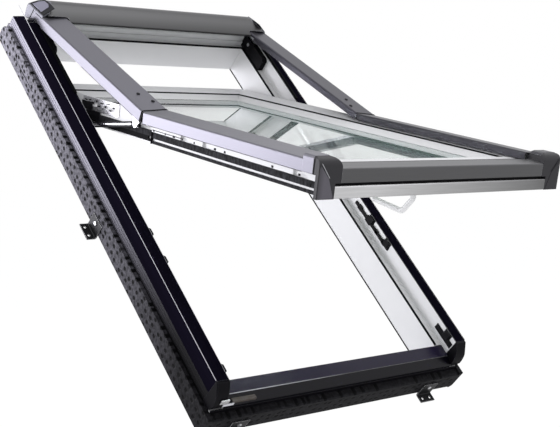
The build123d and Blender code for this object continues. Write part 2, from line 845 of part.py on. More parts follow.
save_pair(lift_arm, "lift_arm", on_yoke)

# Knee pins, turned with a shoulder between the arm and the sash
with BuildPart() as knee_pins:
    for mark in (-1, 1):
        knee = Plane((mark * arm_inner, knee_y, knee_z), z_dir=(mark, 0, 0))
        with Locations(knee):
            Cylinder(pin_radius, arm_outer - arm_inner, align=(Align.CENTER, Align.CENTER, Align.MIN))
        with Locations(knee):
            Cylinder(pin_radius, arm_inner - sash_half + pin_grip, align=(Align.CENTER, Align.CENTER, Align.MAX))
        with Locations(knee):
            Cylinder(pin_radius + 3.0, arm_inner - sash_half - run_clear, align=(Align.CENTER, Align.CENTER, Align.MAX))
        with Locations(knee.offset(arm_outer - arm_inner)):
            Cylinder(pin_radius + 2.0, 2.0, align=(Align.CENTER, Align.CENTER, Align.MIN))
save(knee_pins, "knee_pins", on_yoke)

# Screws that hold the covers on the arms
with BuildPart() as cover_screws:
    for mark in (-1, 1):
        for x, y in cover_screw_places():
            head_z = cover_height(x) + cover_sheet + screw_tilt
            with Locations((mark * x, y, head_z)):
                Cylinder(screw_head, screw_head_rise, align=(Align.CENTER, Align.CENTER, Align.MIN))
            with Locations((mark * x, y, head_z)):
                Cylinder(screw_shank, head_z - arm_top, align=(Align.CENTER, Align.CENTER, Align.MAX))
save(cover_screws, "cover_screws", on_yoke)

# Sash frame: a ring with a sloped bead and a slot for the sealed glass unit
glass_low = -glass_drop - 2 * pane - pane_gap
glass_half = sight_half + glass_edge
glass_bottom = sight_bottom - glass_edge
glass_top = sight_top + glass_edge


def inside_sash(inset, z):
    """A rectangle inside the sash's outline, drawn at one height."""
    with BuildSketch(Plane.XY.offset(z)) as inside:
        rectangle_between(-sash_half + inset, sash_bottom + inset, sash_half - inset, sash_end - inset)
    return inside.sketch


def bead_ring():
    """The outline of the gasket along the step of the bead."""
    with BuildSketch(Plane.XY.offset(sash_rise - bead_drop)) as ring:
        inset = bead_inset
        rectangle_between(-sash_half + inset, sash_bottom + inset, sash_half - inset, sash_end - inset)
        offset(amount=-bead_gasket, mode=Mode.SUBTRACT)
    return ring.sketch


core_top = bar_top - bar_sheet - seat_clear
with BuildPart() as sash_frame:
    extrude(inside_sash(0, -sash_back), amount=sash_back + sash_rise)
    extrude(inside_sash(sash_face, -sash_back), amount=sash_back + sash_rise, mode=Mode.SUBTRACT)
    slope_foot = inside_sash(bead_inset, sash_rise - bead_drop)
    loft([slope_foot, inside_sash(0, sash_rise)], mode=Mode.SUBTRACT)
    loft([inside_sash(sash_face, -glass_drop), slope_foot], mode=Mode.SUBTRACT)
    extrude(bead_ring(), amount=-bead_gasket, mode=Mode.SUBTRACT)
    block(-sash_half, sash_half, sash_bottom, sash_bottom + bead_inset, core_top, sash_rise, Mode.SUBTRACT)
    block(-glass_half - seat_clear, glass_half + seat_clear, glass_bottom - seat_clear, glass_top + seat_clear,
          glass_low - seat_clear, -glass_drop + seat_clear, Mode.SUBTRACT)
    for mark in (-1, 1):
        disc_across(knee_y, knee_z, pin_radius + pin_fit, mark * (sash_half - pin_grip - 1.0) - 8.0 * (1 - mark),
                    mark * (sash_half - pin_grip - 1.0) + 8.0 * (1 + mark), Mode.SUBTRACT)
save(sash_frame, "sash_frame", on_sash)

# Sealed glass unit
with BuildPart() as outer_pane:
    block(-glass_half, glass_half, glass_bottom, glass_top, -glass_drop - pane, -glass_drop)
save(outer_pane, "outer_pane", on_sash)

with BuildPart() as inner_pane:
    block(-glass_half, glass_half, glass_bottom, glass_top, glass_low, glass_low + pane)
save(inner_pane, "inner_pane", on_sash)

with BuildPart() as glass_spacer:
    with BuildSketch(Plane.XY.offset(glass_low + pane)):
        rectangle_between(-glass_half, glass_bottom, glass_half, glass_top)
        offset(amount=-spacer_width, mode=Mode.SUBTRACT)
    extrude(amount=pane_gap)
save(glass_spacer, "glass_spacer", on_sash)

# Black gasket along the step of the bead
with BuildPart() as bead_seal:
    extrude(bead_ring(), amount=-bead_gasket)
save(bead_seal, "bead_gasket", on_sash)

# Side flanges of the sash below the knee, pocketed for the catches
flange_start = cap_plate - bar_front + seat_clear
flange_end = knee_y - flange_end_from_knee
flange_top = cover_height(flange_half) - seat_clear

with BuildPart() as sash_flange:
    block(sash_half, flange_half, flange_start, flange_end, -flange_ledge, flange_top)
    block(sash_half, flange_seat, flange_start, flange_end, -flange_foot, -flange_ledge)
    for catch_y in catch_places:
        reach = catch_length / 2 + pocket_margin
        block(flange_seat, flange_half, catch_y - reach, catch_y + reach, -flange_ledge,
              catch_room - catch_top, Mode.SUBTRACT)
save_pair(sash_flange, "sash_flange", on_sash)

# Rubber bands along the foot of each flange
with BuildPart() as flange_seal:
    outer = flange_seat + band_stand
    block(flange_seat, outer, flange_start, flange_end, -band_upper - band_upper_height, -band_upper)
    block(flange_seat, outer, flange_start, flange_end, -band_lower - band_lower_height, -band_lower)
save_both(flange_seal, "flange_seals", on_sash)

with BuildPart() as sash_seals:
    for side_x in (sash_half, -sash_half - seal_stand):
        block(side_x, side_x + seal_stand, knee_y + 16.0, sash_end - 6.0, -34.0, seal_height - 34.0)
save(sash_seals, "sash_seals", on_sash)

# Covers over the sash sides, in line with the arm covers when shut
with BuildPart() as sash_cover:
    folded_along(cover_line, cover_sheet, cover_fold, cap_length - bar_front + seat_clear, knee_y - seam_gap / 2)
save_pair(sash_cover, "sash_cover", on_sash)

# Lower rail of the sash and its two folded bars
with BuildPart() as sash_rail:
    rail_front = bar_sheet - bar_front + run_clear
    rail_low = bar_sheet - bar_foot + run_clear
    block(-bar_half, bar_half, rail_front, sash_bottom, rail_low, core_top)
    block(-bar_half, bar_half, rail_front, bar_return - bar_front + 2.0, -bar_split - bar_gap - 3.0,
          3.0 - bar_split, Mode.SUBTRACT)
save(sash_rail, "sash_rail", on_sash)

with BuildPart() as sash_bar_upper:
    upper_line = [
        (bar_top_depth - bar_front, bar_top + bar_top_rise),
        (-bar_front, bar_top),
        (-bar_front, -bar_split),
        (bar_return - bar_front, -bar_split),
    ]
    folded_across(upper_line, bar_sheet, skin_fold, seat_clear - cap_inner, cap_inner - seat_clear)
save(sash_bar_upper, "sash_bar_upper", on_sash)

with BuildPart() as sash_bar_lower:
    lower_line = [
        (bar_return - bar_front, -bar_split - bar_gap),
        (-bar_front, -bar_split - bar_gap),
        (-bar_front, -bar_foot),
        (bar_foot_depth - bar_front, -bar_foot),
    ]
    folded_across(lower_line, bar_sheet, skin_fold, -bar_half, bar_half)
save(sash_bar_lower, "sash_bar_lower", on_sash)

# Domed end caps at the lower corners of the sash, hollow behind and round at the inner corner
with BuildPart() as corner_cap:
    front_y = -bar_front
    back_y = cap_length - bar_front
    foot_x = bar_half + seat_clear
    with BuildSketch(Plane.YZ.offset(cap_inner)):
        with BuildLine():
            low = Line((front_y, -bar_foot), (front_y, cap_crown - cap_front_round))
            over = Line((front_y + cap_front_round, cap_crown), (front_y + cap_front_round + cap_wall, cap_crown))
            RadiusArc(low @ 1, over @ 0, cap_front_round)
            Polyline(
                over @ 1,
                (back_y, cap_crown - cap_fall),
                (back_y, cover_clear),
                (front_y + cap_plate, cover_clear),
                (front_y + cap_plate, -bar_foot),
                low @ 0,
            )
        make_face()
    extrude(amount=cover_half - cap_inner)
    with BuildSketch(Plane.XZ.offset(bar_front + cap_wall)):
        rectangle_between(cap_inner, seat_clear - bar_split, cover_half, cap_crown)
        rectangle_between(foot_x, -bar_foot, cover_half, 0)
        fillet(vertices().group_by(Axis.Y)[-1].sort_by(Axis.X)[0], radius=cap_corner)
        fillet(vertices().group_by(Axis.Y)[-1].sort_by(Axis.X)[-1], radius=cap_edge)
    extrude(amount=-cap_length - 2 * cap_wall, mode=Mode.INTERSECT)
    block(cap_inner, foot_x, front_y + bar_sheet, back_y, -bar_split, core_top + seat_clear, Mode.SUBTRACT)
    with BuildSketch(Plane.XZ.offset(bar_front - cap_plate)):
        hollow_top = cap_crown - cap_wall - cap_fall
        rectangle_between(cap_inner + cap_wall, 0, cover_half - cap_wall, hollow_top)
        fillet(vertices().group_by(Axis.Y)[-1].sort_by(Axis.X)[0], radius=cap_corner - cap_wall)
        fillet(vertices().group_by(Axis.Y)[-1].sort_by(Axis.X)[-1], radius=cap_edge)
    extrude(amount=-cap_length, mode=Mode.SUBTRACT)
save_pair(corner_cap, "corner_cap", on_sash)

# Hardware plates on the sash sides above the knee
with BuildPart() as side_plate:
    plate_top = sash_rise - 1.0
    with BuildSketch(Plane.YZ.offset(sash_half)):
        rectangle_between(side_plate_from, plate_top - side_plate_height, side_plate_from + side_plate_length, plate_top)
        fillet(vertices(), radius=4.0)
        with Locations(*[(side_plate_from + along, plate_top - side_plate_middle) for along in side_plate_slots]):
            SlotOverall(40.0, 9.0, mode=Mode.SUBTRACT)
    extrude(amount=side_plate_sheet)
    with BuildSketch(Plane.YZ.offset(sash_half + side_plate_sheet)):
        with Locations(*[(side_plate_from + along, plate_top - side_plate_middle) for along in side_plate_bosses]):
            Circle(6.0)
    extrude(amount=side_plate_boss)
save_pair(side_plate, "side_plate", on_sash)

# Handle on the room side: a rosette and a cranked grip that turns in it
with BuildPart() as handle_rosette:
    with BuildSketch(Plane.XY.offset(-sash_back)):
        with Locations((0, handle_at)):
            RectangleRounded(rosette_width, rosette_length, 10.0)
    extrude(amount=-rosette_thick)
    chamfer(handle_rosette.faces().sort_by(Axis.Z)[0].edges(), length=1.5)
save(handle_rosette, "handle_rosette", on_sash)

with BuildPart() as handle_grip:
    grip_top = -sash_back - rosette_thick - seat_clear
    with BuildLine(Plane.YZ):
        crank = FilletPolyline(
            (handle_at, grip_top),
            (handle_at, grip_top - handle_neck),
            (handle_at + 26.0, -sash_back - handle_stand),
            (handle_at + handle_reach, -sash_back - handle_stand + 8.0),
            radius=11.0,
        )
    with BuildSketch(Plane((0, handle_at, grip_top), z_dir=(0, 0, -1))):
        Circle(handle_radius)
    sweep(path=crank)
save(handle_grip, "handle_grip", on_sash)

# Stays: a tube with a flattened eye at each end
with BuildPart() as stay:
    with BuildSketch(Plane.XZ.offset(-stay_eye_y - stay_flat)):
        with Locations((stay_x, hinge_z)):
            Circle(stay_radius)
    extrude(amount=-(stay_reach - 2 * stay_flat))
    for eye_y in (stay_eye_y, shoe_y):
        disc_across(eye_y, hinge_z, stay_eye, stay_x - stay_eye_thick / 2, stay_x + stay_eye_thick / 2)
    block(stay_x - stay_eye_thick / 2, stay_x + stay_eye_thick / 2, stay_eye_y, shoe_y,
          hinge_z - stay_radius + 1.0, hinge_z + stay_radius - 1.0)
    for eye_y in (stay_eye_y, shoe_y):
        disc_across(eye_y, hinge_z, stay_pin + pin_fit, stay_x - stay_eye_thick / 2,
                    stay_x + stay_eye_thick / 2, Mode.SUBTRACT)
save_pair(stay, "stay", on_stay)

# Shoes: a tee foot in the track and a fork with its pin
with BuildPart() as shoe:
    foot_low = track_wall - rebate_depth + seat_clear
    foot_high = track_height - track_wall - rebate_depth - seat_clear
    fork_low = hinge_z - stay_eye - run_clear
    cheek = stay_eye_thick / 2 + run_clear
    block(stay_x - shoe_half, stay_x + shoe_half, shoe_y - shoe_length / 2, shoe_y + shoe_length / 2,
          foot_low, foot_high)
    block(stay_x - shoe_half + 3.0, stay_x + shoe_half - 3.0, shoe_y - shoe_length / 2,
          shoe_y + shoe_length / 2, foot_high, fork_low)
    block(stay_x - shoe_half, stay_x + shoe_half, shoe_y - 8.0, shoe_y + 8.0, fork_low - 2.4, fork_low)
    for x0, x1 in ((stay_x - shoe_half, stay_x - cheek), (stay_x + cheek, stay_x + shoe_half)):
        block(x0, x1, shoe_y - 8.0, shoe_y + 8.0, fork_low - 1.0, hinge_z)
        disc_across(shoe_y, hinge_z, 8.0, x0, x1)
    disc_across(shoe_y, hinge_z, stay_pin, stay_x - cheek, stay_x + cheek)
save_pair(shoe, "shoe", on_shoe)
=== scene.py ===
# %% [markdown]
# # A roof window, opened on its arms
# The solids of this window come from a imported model: frame, lifting arms, sash and fittings.
# This lesson dresses them. Each cell makes one finish, one light or one piece, and prints what it made.
# Everything is in metres, with X across the window, Z up, and the roof rising along +Y and +Z.

# %% Load the window
import json
import math

import bpy
from mathutils import Matrix, Vector


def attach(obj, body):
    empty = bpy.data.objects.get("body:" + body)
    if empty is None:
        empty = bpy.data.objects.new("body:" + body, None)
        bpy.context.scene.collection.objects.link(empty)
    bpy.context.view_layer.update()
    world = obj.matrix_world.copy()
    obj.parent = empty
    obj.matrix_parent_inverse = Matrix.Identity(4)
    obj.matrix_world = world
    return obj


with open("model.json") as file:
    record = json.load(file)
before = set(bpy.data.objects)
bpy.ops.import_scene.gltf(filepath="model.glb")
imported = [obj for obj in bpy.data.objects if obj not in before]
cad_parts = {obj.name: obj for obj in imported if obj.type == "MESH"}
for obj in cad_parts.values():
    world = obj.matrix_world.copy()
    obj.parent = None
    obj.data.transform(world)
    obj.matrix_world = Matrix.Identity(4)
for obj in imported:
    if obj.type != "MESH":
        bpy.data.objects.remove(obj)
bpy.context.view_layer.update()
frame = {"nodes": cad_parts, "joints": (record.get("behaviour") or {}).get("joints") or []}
nodes = frame["nodes"]
print("solids loaded:", len(nodes))

# %% [markdown]
# The window is drawn on a roof, so nothing on it lies level. Three directions are enough to find
# any place: across, up the roof, and out of the roof. Each body of the window has its own pitch:
# the fixed frame keeps the roof's, the arms are lifted a little, and the sash is almost level.

# %% Directions on the roof
roof_pitch = 45.0
lift_angle = 16.9
tilt_angle = 18.3
pitch_of = {
    "frame": roof_pitch,
    "yoke": roof_pitch - lift_angle,
    "sash": roof_pitch - lift_angle - tilt_angle,
}
sill_inset = 0.020
frame_depth = 0.124
joint_places = {joint["name"]: joint.get("pos_m") for joint in frame["joints"]}


def turned_about(y, z, degrees):
    """A turn about a line across the window."""
    middle = Matrix.Translation((0, y, z))
    return middle @ Matrix.Rotation(math.radians(degrees), 4, "X") @ middle.inverted()


roof_lean = Matrix.Rotation(math.radians(roof_pitch), 4, "X")
on_frame = roof_lean @ Matrix.Translation((0, -sill_inset, frame_depth))
hinge = joint_places["yoke_lift"]
knee = joint_places["sash_tilt"]
on_yoke = turned_about(hinge[1], hinge[2], -lift_angle) @ on_frame
on_sash = turned_about(knee[1], knee[2], -tilt_angle) @ on_yoke
print("sash pitch in degrees:", round(pitch_of["sash"], 1))

# %% [markdown]
# The camera comes before any finish, because every choice of colour and gloss is judged through it.
# It stands low and to the left, a little over two and a half metres away, and looks slightly down.

# %% Camera
camera_place = (-1.7621, -1.9440, 0.58135)
camera_turn = -39.85
camera_dip = 3.717
bpy.ops.object.camera_add(location=camera_place)
camera = bpy.context.object
camera.name = "camera"
camera.rotation_euler = (math.radians(90 - camera_dip), 0, math.radians(camera_turn))
camera.data.sensor_width = 36.0
camera.data.lens = 76.06
camera.data.clip_start = 0.05
scene = bpy.context.scene
scene.camera = camera
scene.view_settings.view_transform = "Standard"
print("camera lens in mm:", camera.data.lens)

# %% [markdown]
# A studio for metal needs something to mirror. The world is white where the camera sees it, nearly
# white where metal and glass mirror it, and dimmer where it only lights the object. The three cases
# are told apart by the Light Path node, so the object is lit plainly and still stands on white paper.

# %% World
world = bpy.data.worlds.new("studio")
scene.world = world
world.use_nodes = True
tree = world.node_tree
tree.nodes.clear()


def background(color, strength):
    """One background shader of the world."""
    made = tree.nodes.new("ShaderNodeBackground")
    made.inputs["Color"].default_value = (*color, 1)
    made.inputs["Strength"].default_value = strength
    return made.outputs["Background"]


def mixed(tree, factor, first, second):
    """A mix of two shaders."""
    made = tree.nodes.new("ShaderNodeMixShader")
    tree.links.new(factor, made.inputs["Fac"])
    tree.links.new(first, made.inputs[1])
    tree.links.new(second, made.inputs[2])
    return made.outputs["Shader"]


def seen_directly(tree, ray):
    """One where the camera looks straight, or through glass, at a surface."""
    made = tree.nodes.new("ShaderNodeMath")
    made.operation = "MAXIMUM"
    tree.links.new(ray.outputs["Is Camera Ray"], made.inputs[0])
    tree.links.new(ray.outputs["Is Transmission Ray"], made.inputs[1])
    return made.outputs["Value"]


light_level = 0.60
mirror_level = 0.92
ray = tree.nodes.new("ShaderNodeLightPath")
mirrored = mixed(tree, ray.outputs["Is Glossy Ray"], background((0.96, 0.97, 1.0), light_level),
                 background((0.98, 0.98, 1.0), mirror_level))
world_out = tree.nodes.new("ShaderNodeOutputWorld")
white_paper = background((1, 1, 1), 1.0)
shown = mixed(tree, seen_directly(tree, ray), mirrored, white_paper)
tree.links.new(shown, world_out.inputs["Surface"])
print("world levels:", light_level, mirror_level)


# %% [markdown]
# Three lamps shape the metal. The strongest stands behind the window on the left, where the sides of
# the covers mirror it: that is why folded sheet looks grey on top and almost white on its side. It is
# kept near the upper half, so that the long side of the frame fades from light to dark down the roof,
# and a faint lavender tint gives the pale faces their colour. Large area lamps are used, because a
# small lamp would leave a hard spot on every fold. The other two only soften the shadows.

# %% Lamps
def soft_box(name, location, target, size, power, tint=(1, 1, 1)):
    """A rectangular area lamp that looks at a point and isn't seen itself."""
    bpy.ops.object.light_add(type="AREA", location=location)
    lamp = bpy.context.object
    lamp.name = name
    lamp.data.shape = "RECTANGLE"
    lamp.data.size = size[0]
    lamp.data.size_y = size[1]
    lamp.data.energy = power
    lamp.data.color = tint
    lamp.visible_camera = False
    aim = Vector(target) - Vector(location)
    lamp.rotation_euler = aim.to_track_quat("-Z", "Y").to_euler()


soft_box("left_back", (-1.75, 1.95, 0.80), (-0.35, 0.35, 0.70), (1.5, 1.1), 34, (0.94, 0.93, 1.0))
soft_box("left_high", (-1.9, -0.2, 2.3), (-0.2, 0.3, 0.6), (1.2, 1.2), 12)
soft_box("ceiling", (0.9, -0.5, 2.9), (0, 0.3, 0.5), (2.2, 2.2), 22)

# %% [markdown]
# The floor is pale paper. The camera sees it as white, and a little of its own shading is added on
# top, so that the shadow of the window stays while the line to the world behind it goes.

# %% Floor
floor_drop = 0.55
bpy.ops.object.select_all(action="DESELECT")
bpy.ops.mesh.primitive_plane_add(size=40, location=(0, 0, -floor_drop))
floor = bpy.context.object
floor.name = "floor"
paint = bpy.data.materials.new("pale_floor")
paint.use_nodes = True
tree = paint.node_tree
tree.nodes.clear()


def matt(color):
    """A plain matt shader."""
    made = tree.nodes.new("ShaderNodeBsdfDiffuse")
    made.inputs["Color"].default_value = (*color, 1)
    return made.outputs["BSDF"]


def glow(strength):
    """A white glow."""
    made = tree.nodes.new("ShaderNodeEmission")
    made.inputs["Color"].default_value = (1, 1, 1, 1)
    made.inputs["Strength"].default_value = strength
    return made.outputs["Emission"]


ray = tree.nodes.new("ShaderNodeLightPath")
shaded_white = tree.nodes.new("ShaderNodeAddShader")
tree.links.new(glow(0.93), shaded_white.inputs[0])
tree.links.new(matt((0.12, 0.12, 0.12)), shaded_white.inputs[1])
lit_paper = tree.nodes.new("ShaderNodeAddShader")
tree.links.new(matt((0.70, 0.70, 0.71)), lit_paper.inputs[0])
tree.links.new(glow(0.42), lit_paper.inputs[1])
mirrored = mixed(tree, ray.outputs["Is Glossy Ray"], lit_paper.outputs["Shader"], glow(0.62))
floor_out = tree.nodes.new("ShaderNodeOutputMaterial")
shown = mixed(tree, seen_directly(tree, ray), mirrored, shaded_white.outputs["Shader"])
tree.links.new(shown, floor_out.inputs["Surface"])
floor.data.materials.append(paint)
print("floor at", round(floor.location.z, 3))

# %% [markdown]
# Drawn aluminium keeps the marks of its die as fine lines along its length, and moulded plastic has an
# even grain. A picture of scratches could be laid on, but it would need unwrapped faces. One shader
# group makes both from noise instead, which each finish stretches before it is read.

# %% Grain group
def new_group(name, inputs, outputs):
    """An empty shader node group with named sockets."""
    group = bpy.data.node_groups.new(name, "ShaderNodeTree")
    for label, kind, value in inputs:
        socket = group.interface.new_socket(name=label, in_out="INPUT", socket_type=kind)
        if value is not None:
            socket.default_value = value
    for label, kind in outputs:
        group.interface.new_socket(name=label, in_out="OUTPUT", socket_type=kind)
    start = group.nodes.new("NodeGroupInput")
    end = group.nodes.new("NodeGroupOutput")
    return group, start, end


grain, start, end = new_group(
    "stretched_grain",
    [("Vector", "NodeSocketVector", None), ("Density", "NodeSocketFloat", 900.0),
     ("Contrast", "NodeSocketFloat", 0.5)],
    [("Mask", "NodeSocketFloat")],
)
noise = grain.nodes.new("ShaderNodeTexNoise")
noise.inputs["Detail"].default_value = 3.0
level = grain.nodes.new("ShaderNodeMapRange")
level.inputs["From Min"].default_value = 0.3
level.inputs["From Max"].default_value = 0.7
low = grain.nodes.new("ShaderNodeMath")
low.operation = "SUBTRACT"
low.inputs[0].default_value = 1.0
grain.links.new(start.outputs["Vector"], noise.inputs["Vector"])
grain.links.new(start.outputs["Density"], noise.inputs["Scale"])
grain.links.new(noise.outputs["Fac"], level.inputs["Value"])
grain.links.new(start.outputs["Contrast"], low.inputs[1])
grain.links.new(low.outputs["Value"], level.inputs["To Min"])
grain.links.new(level.outputs["Result"], end.inputs["Mask"])
print("group made:", grain.name)

# %% [markdown]
# An edge catches light, so a painted highlight makes it a little lighter than the face beside it. Edges
# could be painted by hand. A Bevel node finds them by itself: where its softened normal leaves the true
# one, there is an edge. The same normal makes a sharp corner catch light as a broken edge does.

# %% Edge group
edges, start, end = new_group(
    "edge_highlight",
    [("Radius", "NodeSocketFloat", 0.001)],
    [("Mask", "NodeSocketFloat"), ("Normal", "NodeSocketVector")],
)
bevel = edges.nodes.new("ShaderNodeBevel")
bevel.samples = 4
true = edges.nodes.new("ShaderNodeNewGeometry")
dot = edges.nodes.new("ShaderNodeVectorMath")
dot.operation = "DOT_PRODUCT"
level = edges.nodes.new("ShaderNodeMapRange")
level.inputs["From Min"].default_value = 0.98
level.inputs["From Max"].default_value = 0.80
edges.links.new(start.outputs["Radius"], bevel.inputs["Radius"])
edges.links.new(bevel.outputs["Normal"], dot.inputs[0])
edges.links.new(true.outputs["Normal"], dot.inputs[1])
edges.links.new(dot.outputs["Value"], level.inputs["Value"])
edges.links.new(level.outputs["Result"], end.inputs["Mask"])
edges.links.new(bevel.outputs["Normal"], end.inputs["Normal"])
print("group made:", edges.name)

# %% [markdown]
# Nearly every surface here is metal or plastic, so one helper builds them all from the two groups. The
# grain moves the colour and the gloss together, as it does on a real surface, and the edge group paints a
# highlight on the rim. A painted light fade dims or brightens a piece towards one end, as painted shade or
# a painted reflection of what it mirrors there.


# %% Material helper
def painted_light_along(tree, place, painted_light_fade, color):
    """The colour, dimmed or brightened along one axis of the piece: painted light and shade."""
    axis, start, end, share = painted_light_fade
    parts = tree.nodes.new("ShaderNodeSeparateXYZ")
    tree.links.new(place, parts.inputs[0])
    level = tree.nodes.new("ShaderNodeMapRange")
    level.inputs["From Min"].default_value = start
    level.inputs["From Max"].default_value = end
    level.inputs["To Min"].default_value = 1.0
    level.inputs["To Max"].default_value = share
    tree.links.new(parts.outputs[axis], level.inputs["Value"])
    shade = tree.nodes.new("ShaderNodeVectorMath")
    shade.operation = "SCALE"
    tree.links.new(color, shade.inputs[0])
    tree.links.new(level.outputs["Result"], shade.inputs["Scale"])
    return shade.outputs["Vector"]


def metal_or_plastic(name, color, pitch, metallic=0.0, roughness=0.4, grain_scale=(1, 1, 1), density=60.0,
                     contrast=0.15, bump=0.0, specular=0.5, edge_highlight_color=None, edge_radius=0.001, spread=0.1,
                     painted_light_fade=None):
    """A finish whose colour and gloss vary with a stretched grain, with a painted highlight on its edges.

    A painted light fade is (axis, from, to, share): at "to" the colour is that share of itself, as painted
    light or painted shade.
    """
    made = bpy.data.materials.new(name)
    made.use_nodes = True
    tree = made.node_tree
    shader = tree.nodes["Principled BSDF"]
    shader.inputs["Metallic"].default_value = metallic
    shader.inputs["Specular IOR Level"].default_value = specular
    where = tree.nodes.new("ShaderNodeTexCoord")
    turn = tree.nodes.new("ShaderNodeMapping")
    turn.inputs["Rotation"].default_value = (math.radians(-pitch), 0, 0)
    stretch = tree.nodes.new("ShaderNodeVectorMath")
    stretch.operation = "MULTIPLY"
    stretch.inputs[1].default_value = grain_scale
    tree.links.new(where.outputs["Object"], turn.inputs["Vector"])
    tree.links.new(turn.outputs["Vector"], stretch.inputs[0])
    lines = tree.nodes.new("ShaderNodeGroup")
    lines.node_tree = grain
    lines.inputs["Density"].default_value = density
    lines.inputs["Contrast"].default_value = contrast
    tree.links.new(stretch.outputs["Vector"], lines.inputs["Vector"])
    tone = tree.nodes.new("ShaderNodeMix")
    tone.data_type = "RGBA"
    tone.inputs["A"].default_value = (*[c * (1 - spread) for c in color], 1)
    tone.inputs["B"].default_value = (*[min(1, c * (1 + spread)) for c in color], 1)
    tree.links.new(lines.outputs["Mask"], tone.inputs["Factor"])
    final = tone.outputs["Result"]
    if painted_light_fade:
        final = painted_light_along(tree, turn.outputs["Vector"], painted_light_fade, final)
    rim = tree.nodes.new("ShaderNodeGroup")
    rim.node_tree = edges
    rim.inputs["Radius"].default_value = edge_radius
    # Painted highlight: the edge mask lightens each edge towards its highlight colour.
    if edge_highlight_color:
        highlighted_edge = tree.nodes.new("ShaderNodeMix")
        highlighted_edge.data_type = "RGBA"
        highlighted_edge.inputs["B"].default_value = (*edge_highlight_color, 1)
        tree.links.new(rim.outputs["Mask"], highlighted_edge.inputs["Factor"])
        tree.links.new(final, highlighted_edge.inputs["A"])
        final = highlighted_edge.outputs["Result"]
    tree.links.new(final, shader.inputs["Base Color"])
    gloss = tree.nodes.new("ShaderNodeMapRange")
    gloss.inputs["To Min"].default_value = roughness * 0.85
    gloss.inputs["To Max"].default_value = min(1.0, roughness * 1.15)
    tree.links.new(lines.outputs["Mask"], gloss.inputs["Value"])
    tree.links.new(gloss.outputs["Result"], shader.inputs["Roughness"])
    if bump:
        rise = tree.nodes.new("ShaderNodeBump")
        rise.inputs["Strength"].default_value = bump
        rise.inputs["Distance"].default_value = 0.0004
        tree.links.new(lines.outputs["Mask"], rise.inputs["Height"])
        tree.links.new(rim.outputs["Normal"], rise.inputs["Normal"])
        tree.links.new(rise.outputs["Normal"], shader.inputs["Normal"])
    else:
        tree.links.new(rim.outputs["Normal"], shader.inputs["Normal"])
    return made


def dress(names, finish):
    """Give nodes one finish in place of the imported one."""
    for name in names:
        mesh = nodes[name].data
        mesh.materials.clear()
        mesh.materials.append(finish)


print("finishes can now be made on", len(nodes), "solids")

# %% [markdown]
# The covers are folded from aluminium sheet and anodised grey. The sheet is brushed along each piece, so
# the grain is squeezed to a fiftieth along it and left fine across it. The far arm and the far sash cover
# face away from the lamp. They get darker copies of the same grey, painted shade, so that they stand back
# behind the others.

# %% Aluminium finishes
across = (0.02, 1, 1)
along = (1, 0.02, 1)
frame_pitch, yoke_pitch, sash_pitch = pitch_of["frame"], pitch_of["yoke"], pitch_of["sash"]
anodised = dict(metallic=0.85, roughness=0.34, density=500, contrast=0.3, edge_highlight_color=(0.5, 0.5, 0.53))
cover_yoke = metal_or_plastic("grey_aluminium_arms", (0.150, 0.147, 0.170), yoke_pitch, grain_scale=along,
                              **anodised)
# The hood's front is painted darker towards its lower edge, down to half: painted shade.
cover_hood = metal_or_plastic("grey_aluminium_hood", (0.098, 0.098, 0.100), yoke_pitch,
                              grain_scale=across, painted_light_fade=("Z", 0.478, 0.464, 0.50), **anodised)
arm_cover_painted_shade = metal_or_plastic("grey_aluminium_arm_painted_shade", (0.072, 0.070, 0.084), yoke_pitch, grain_scale=along,
                           **anodised)
cover_sash = metal_or_plastic("grey_aluminium_sash", (0.170, 0.167, 0.192), sash_pitch, grain_scale=along,
                              **anodised)
sash_cover_painted_shade = metal_or_plastic("grey_aluminium_sash_painted_shade", (0.055, 0.054, 0.062), sash_pitch, grain_scale=along,
                             **anodised)
bar_grey = metal_or_plastic("grey_aluminium_bar", (0.13, 0.13, 0.134), sash_pitch, grain_scale=across,
                            **anodised)
# The lower bar is painted bright at the left and dims to under a third towards the right: painted light
# from the lamp on the left.
bar_brushed = metal_or_plastic("brushed_bar", (0.80, 0.80, 0.81), sash_pitch, metallic=1.0,
                               roughness=0.32, grain_scale=across, density=700, contrast=0.6, bump=0.2,
                               spread=0.12, painted_light_fade=("X", -0.22, 0.30, 0.30))
print("aluminium finishes:", [m.name for m in (cover_yoke, cover_hood, arm_cover_painted_shade, cover_sash, sash_cover_painted_shade)])

# %% [markdown]
# The corner caps are injection moulded with a satin skin, and the frame and sash are white plastic
# profiles, drawn through a die and polished by it. Low contrast and a coarse grain keep the white calm;
# a high density and a little bump give the caps the fine bead-blasted skin of their mould.

# %% Caps and white profiles
cap_grey = metal_or_plastic("satin_cap_plastic", (0.026, 0.025, 0.029), sash_pitch, roughness=0.42,
                            density=900, contrast=0.4, bump=0.15, specular=0.35)
cap_hood = metal_or_plastic("satin_hood_cap", (0.165, 0.165, 0.19), yoke_pitch, metallic=0.6,
                            roughness=0.4, density=900, contrast=0.4, bump=0.15)
white_frame = metal_or_plastic("white_frame_profile", (0.78, 0.78, 0.785), frame_pitch, roughness=0.32,
                               density=14, contrast=0.3, spread=0.02)
white_sash = metal_or_plastic("white_sash_profile", (0.83, 0.83, 0.84), sash_pitch, roughness=0.3,
                              density=14, contrast=0.3, spread=0.02)
print("profile finishes:", white_frame.name, white_sash.name)
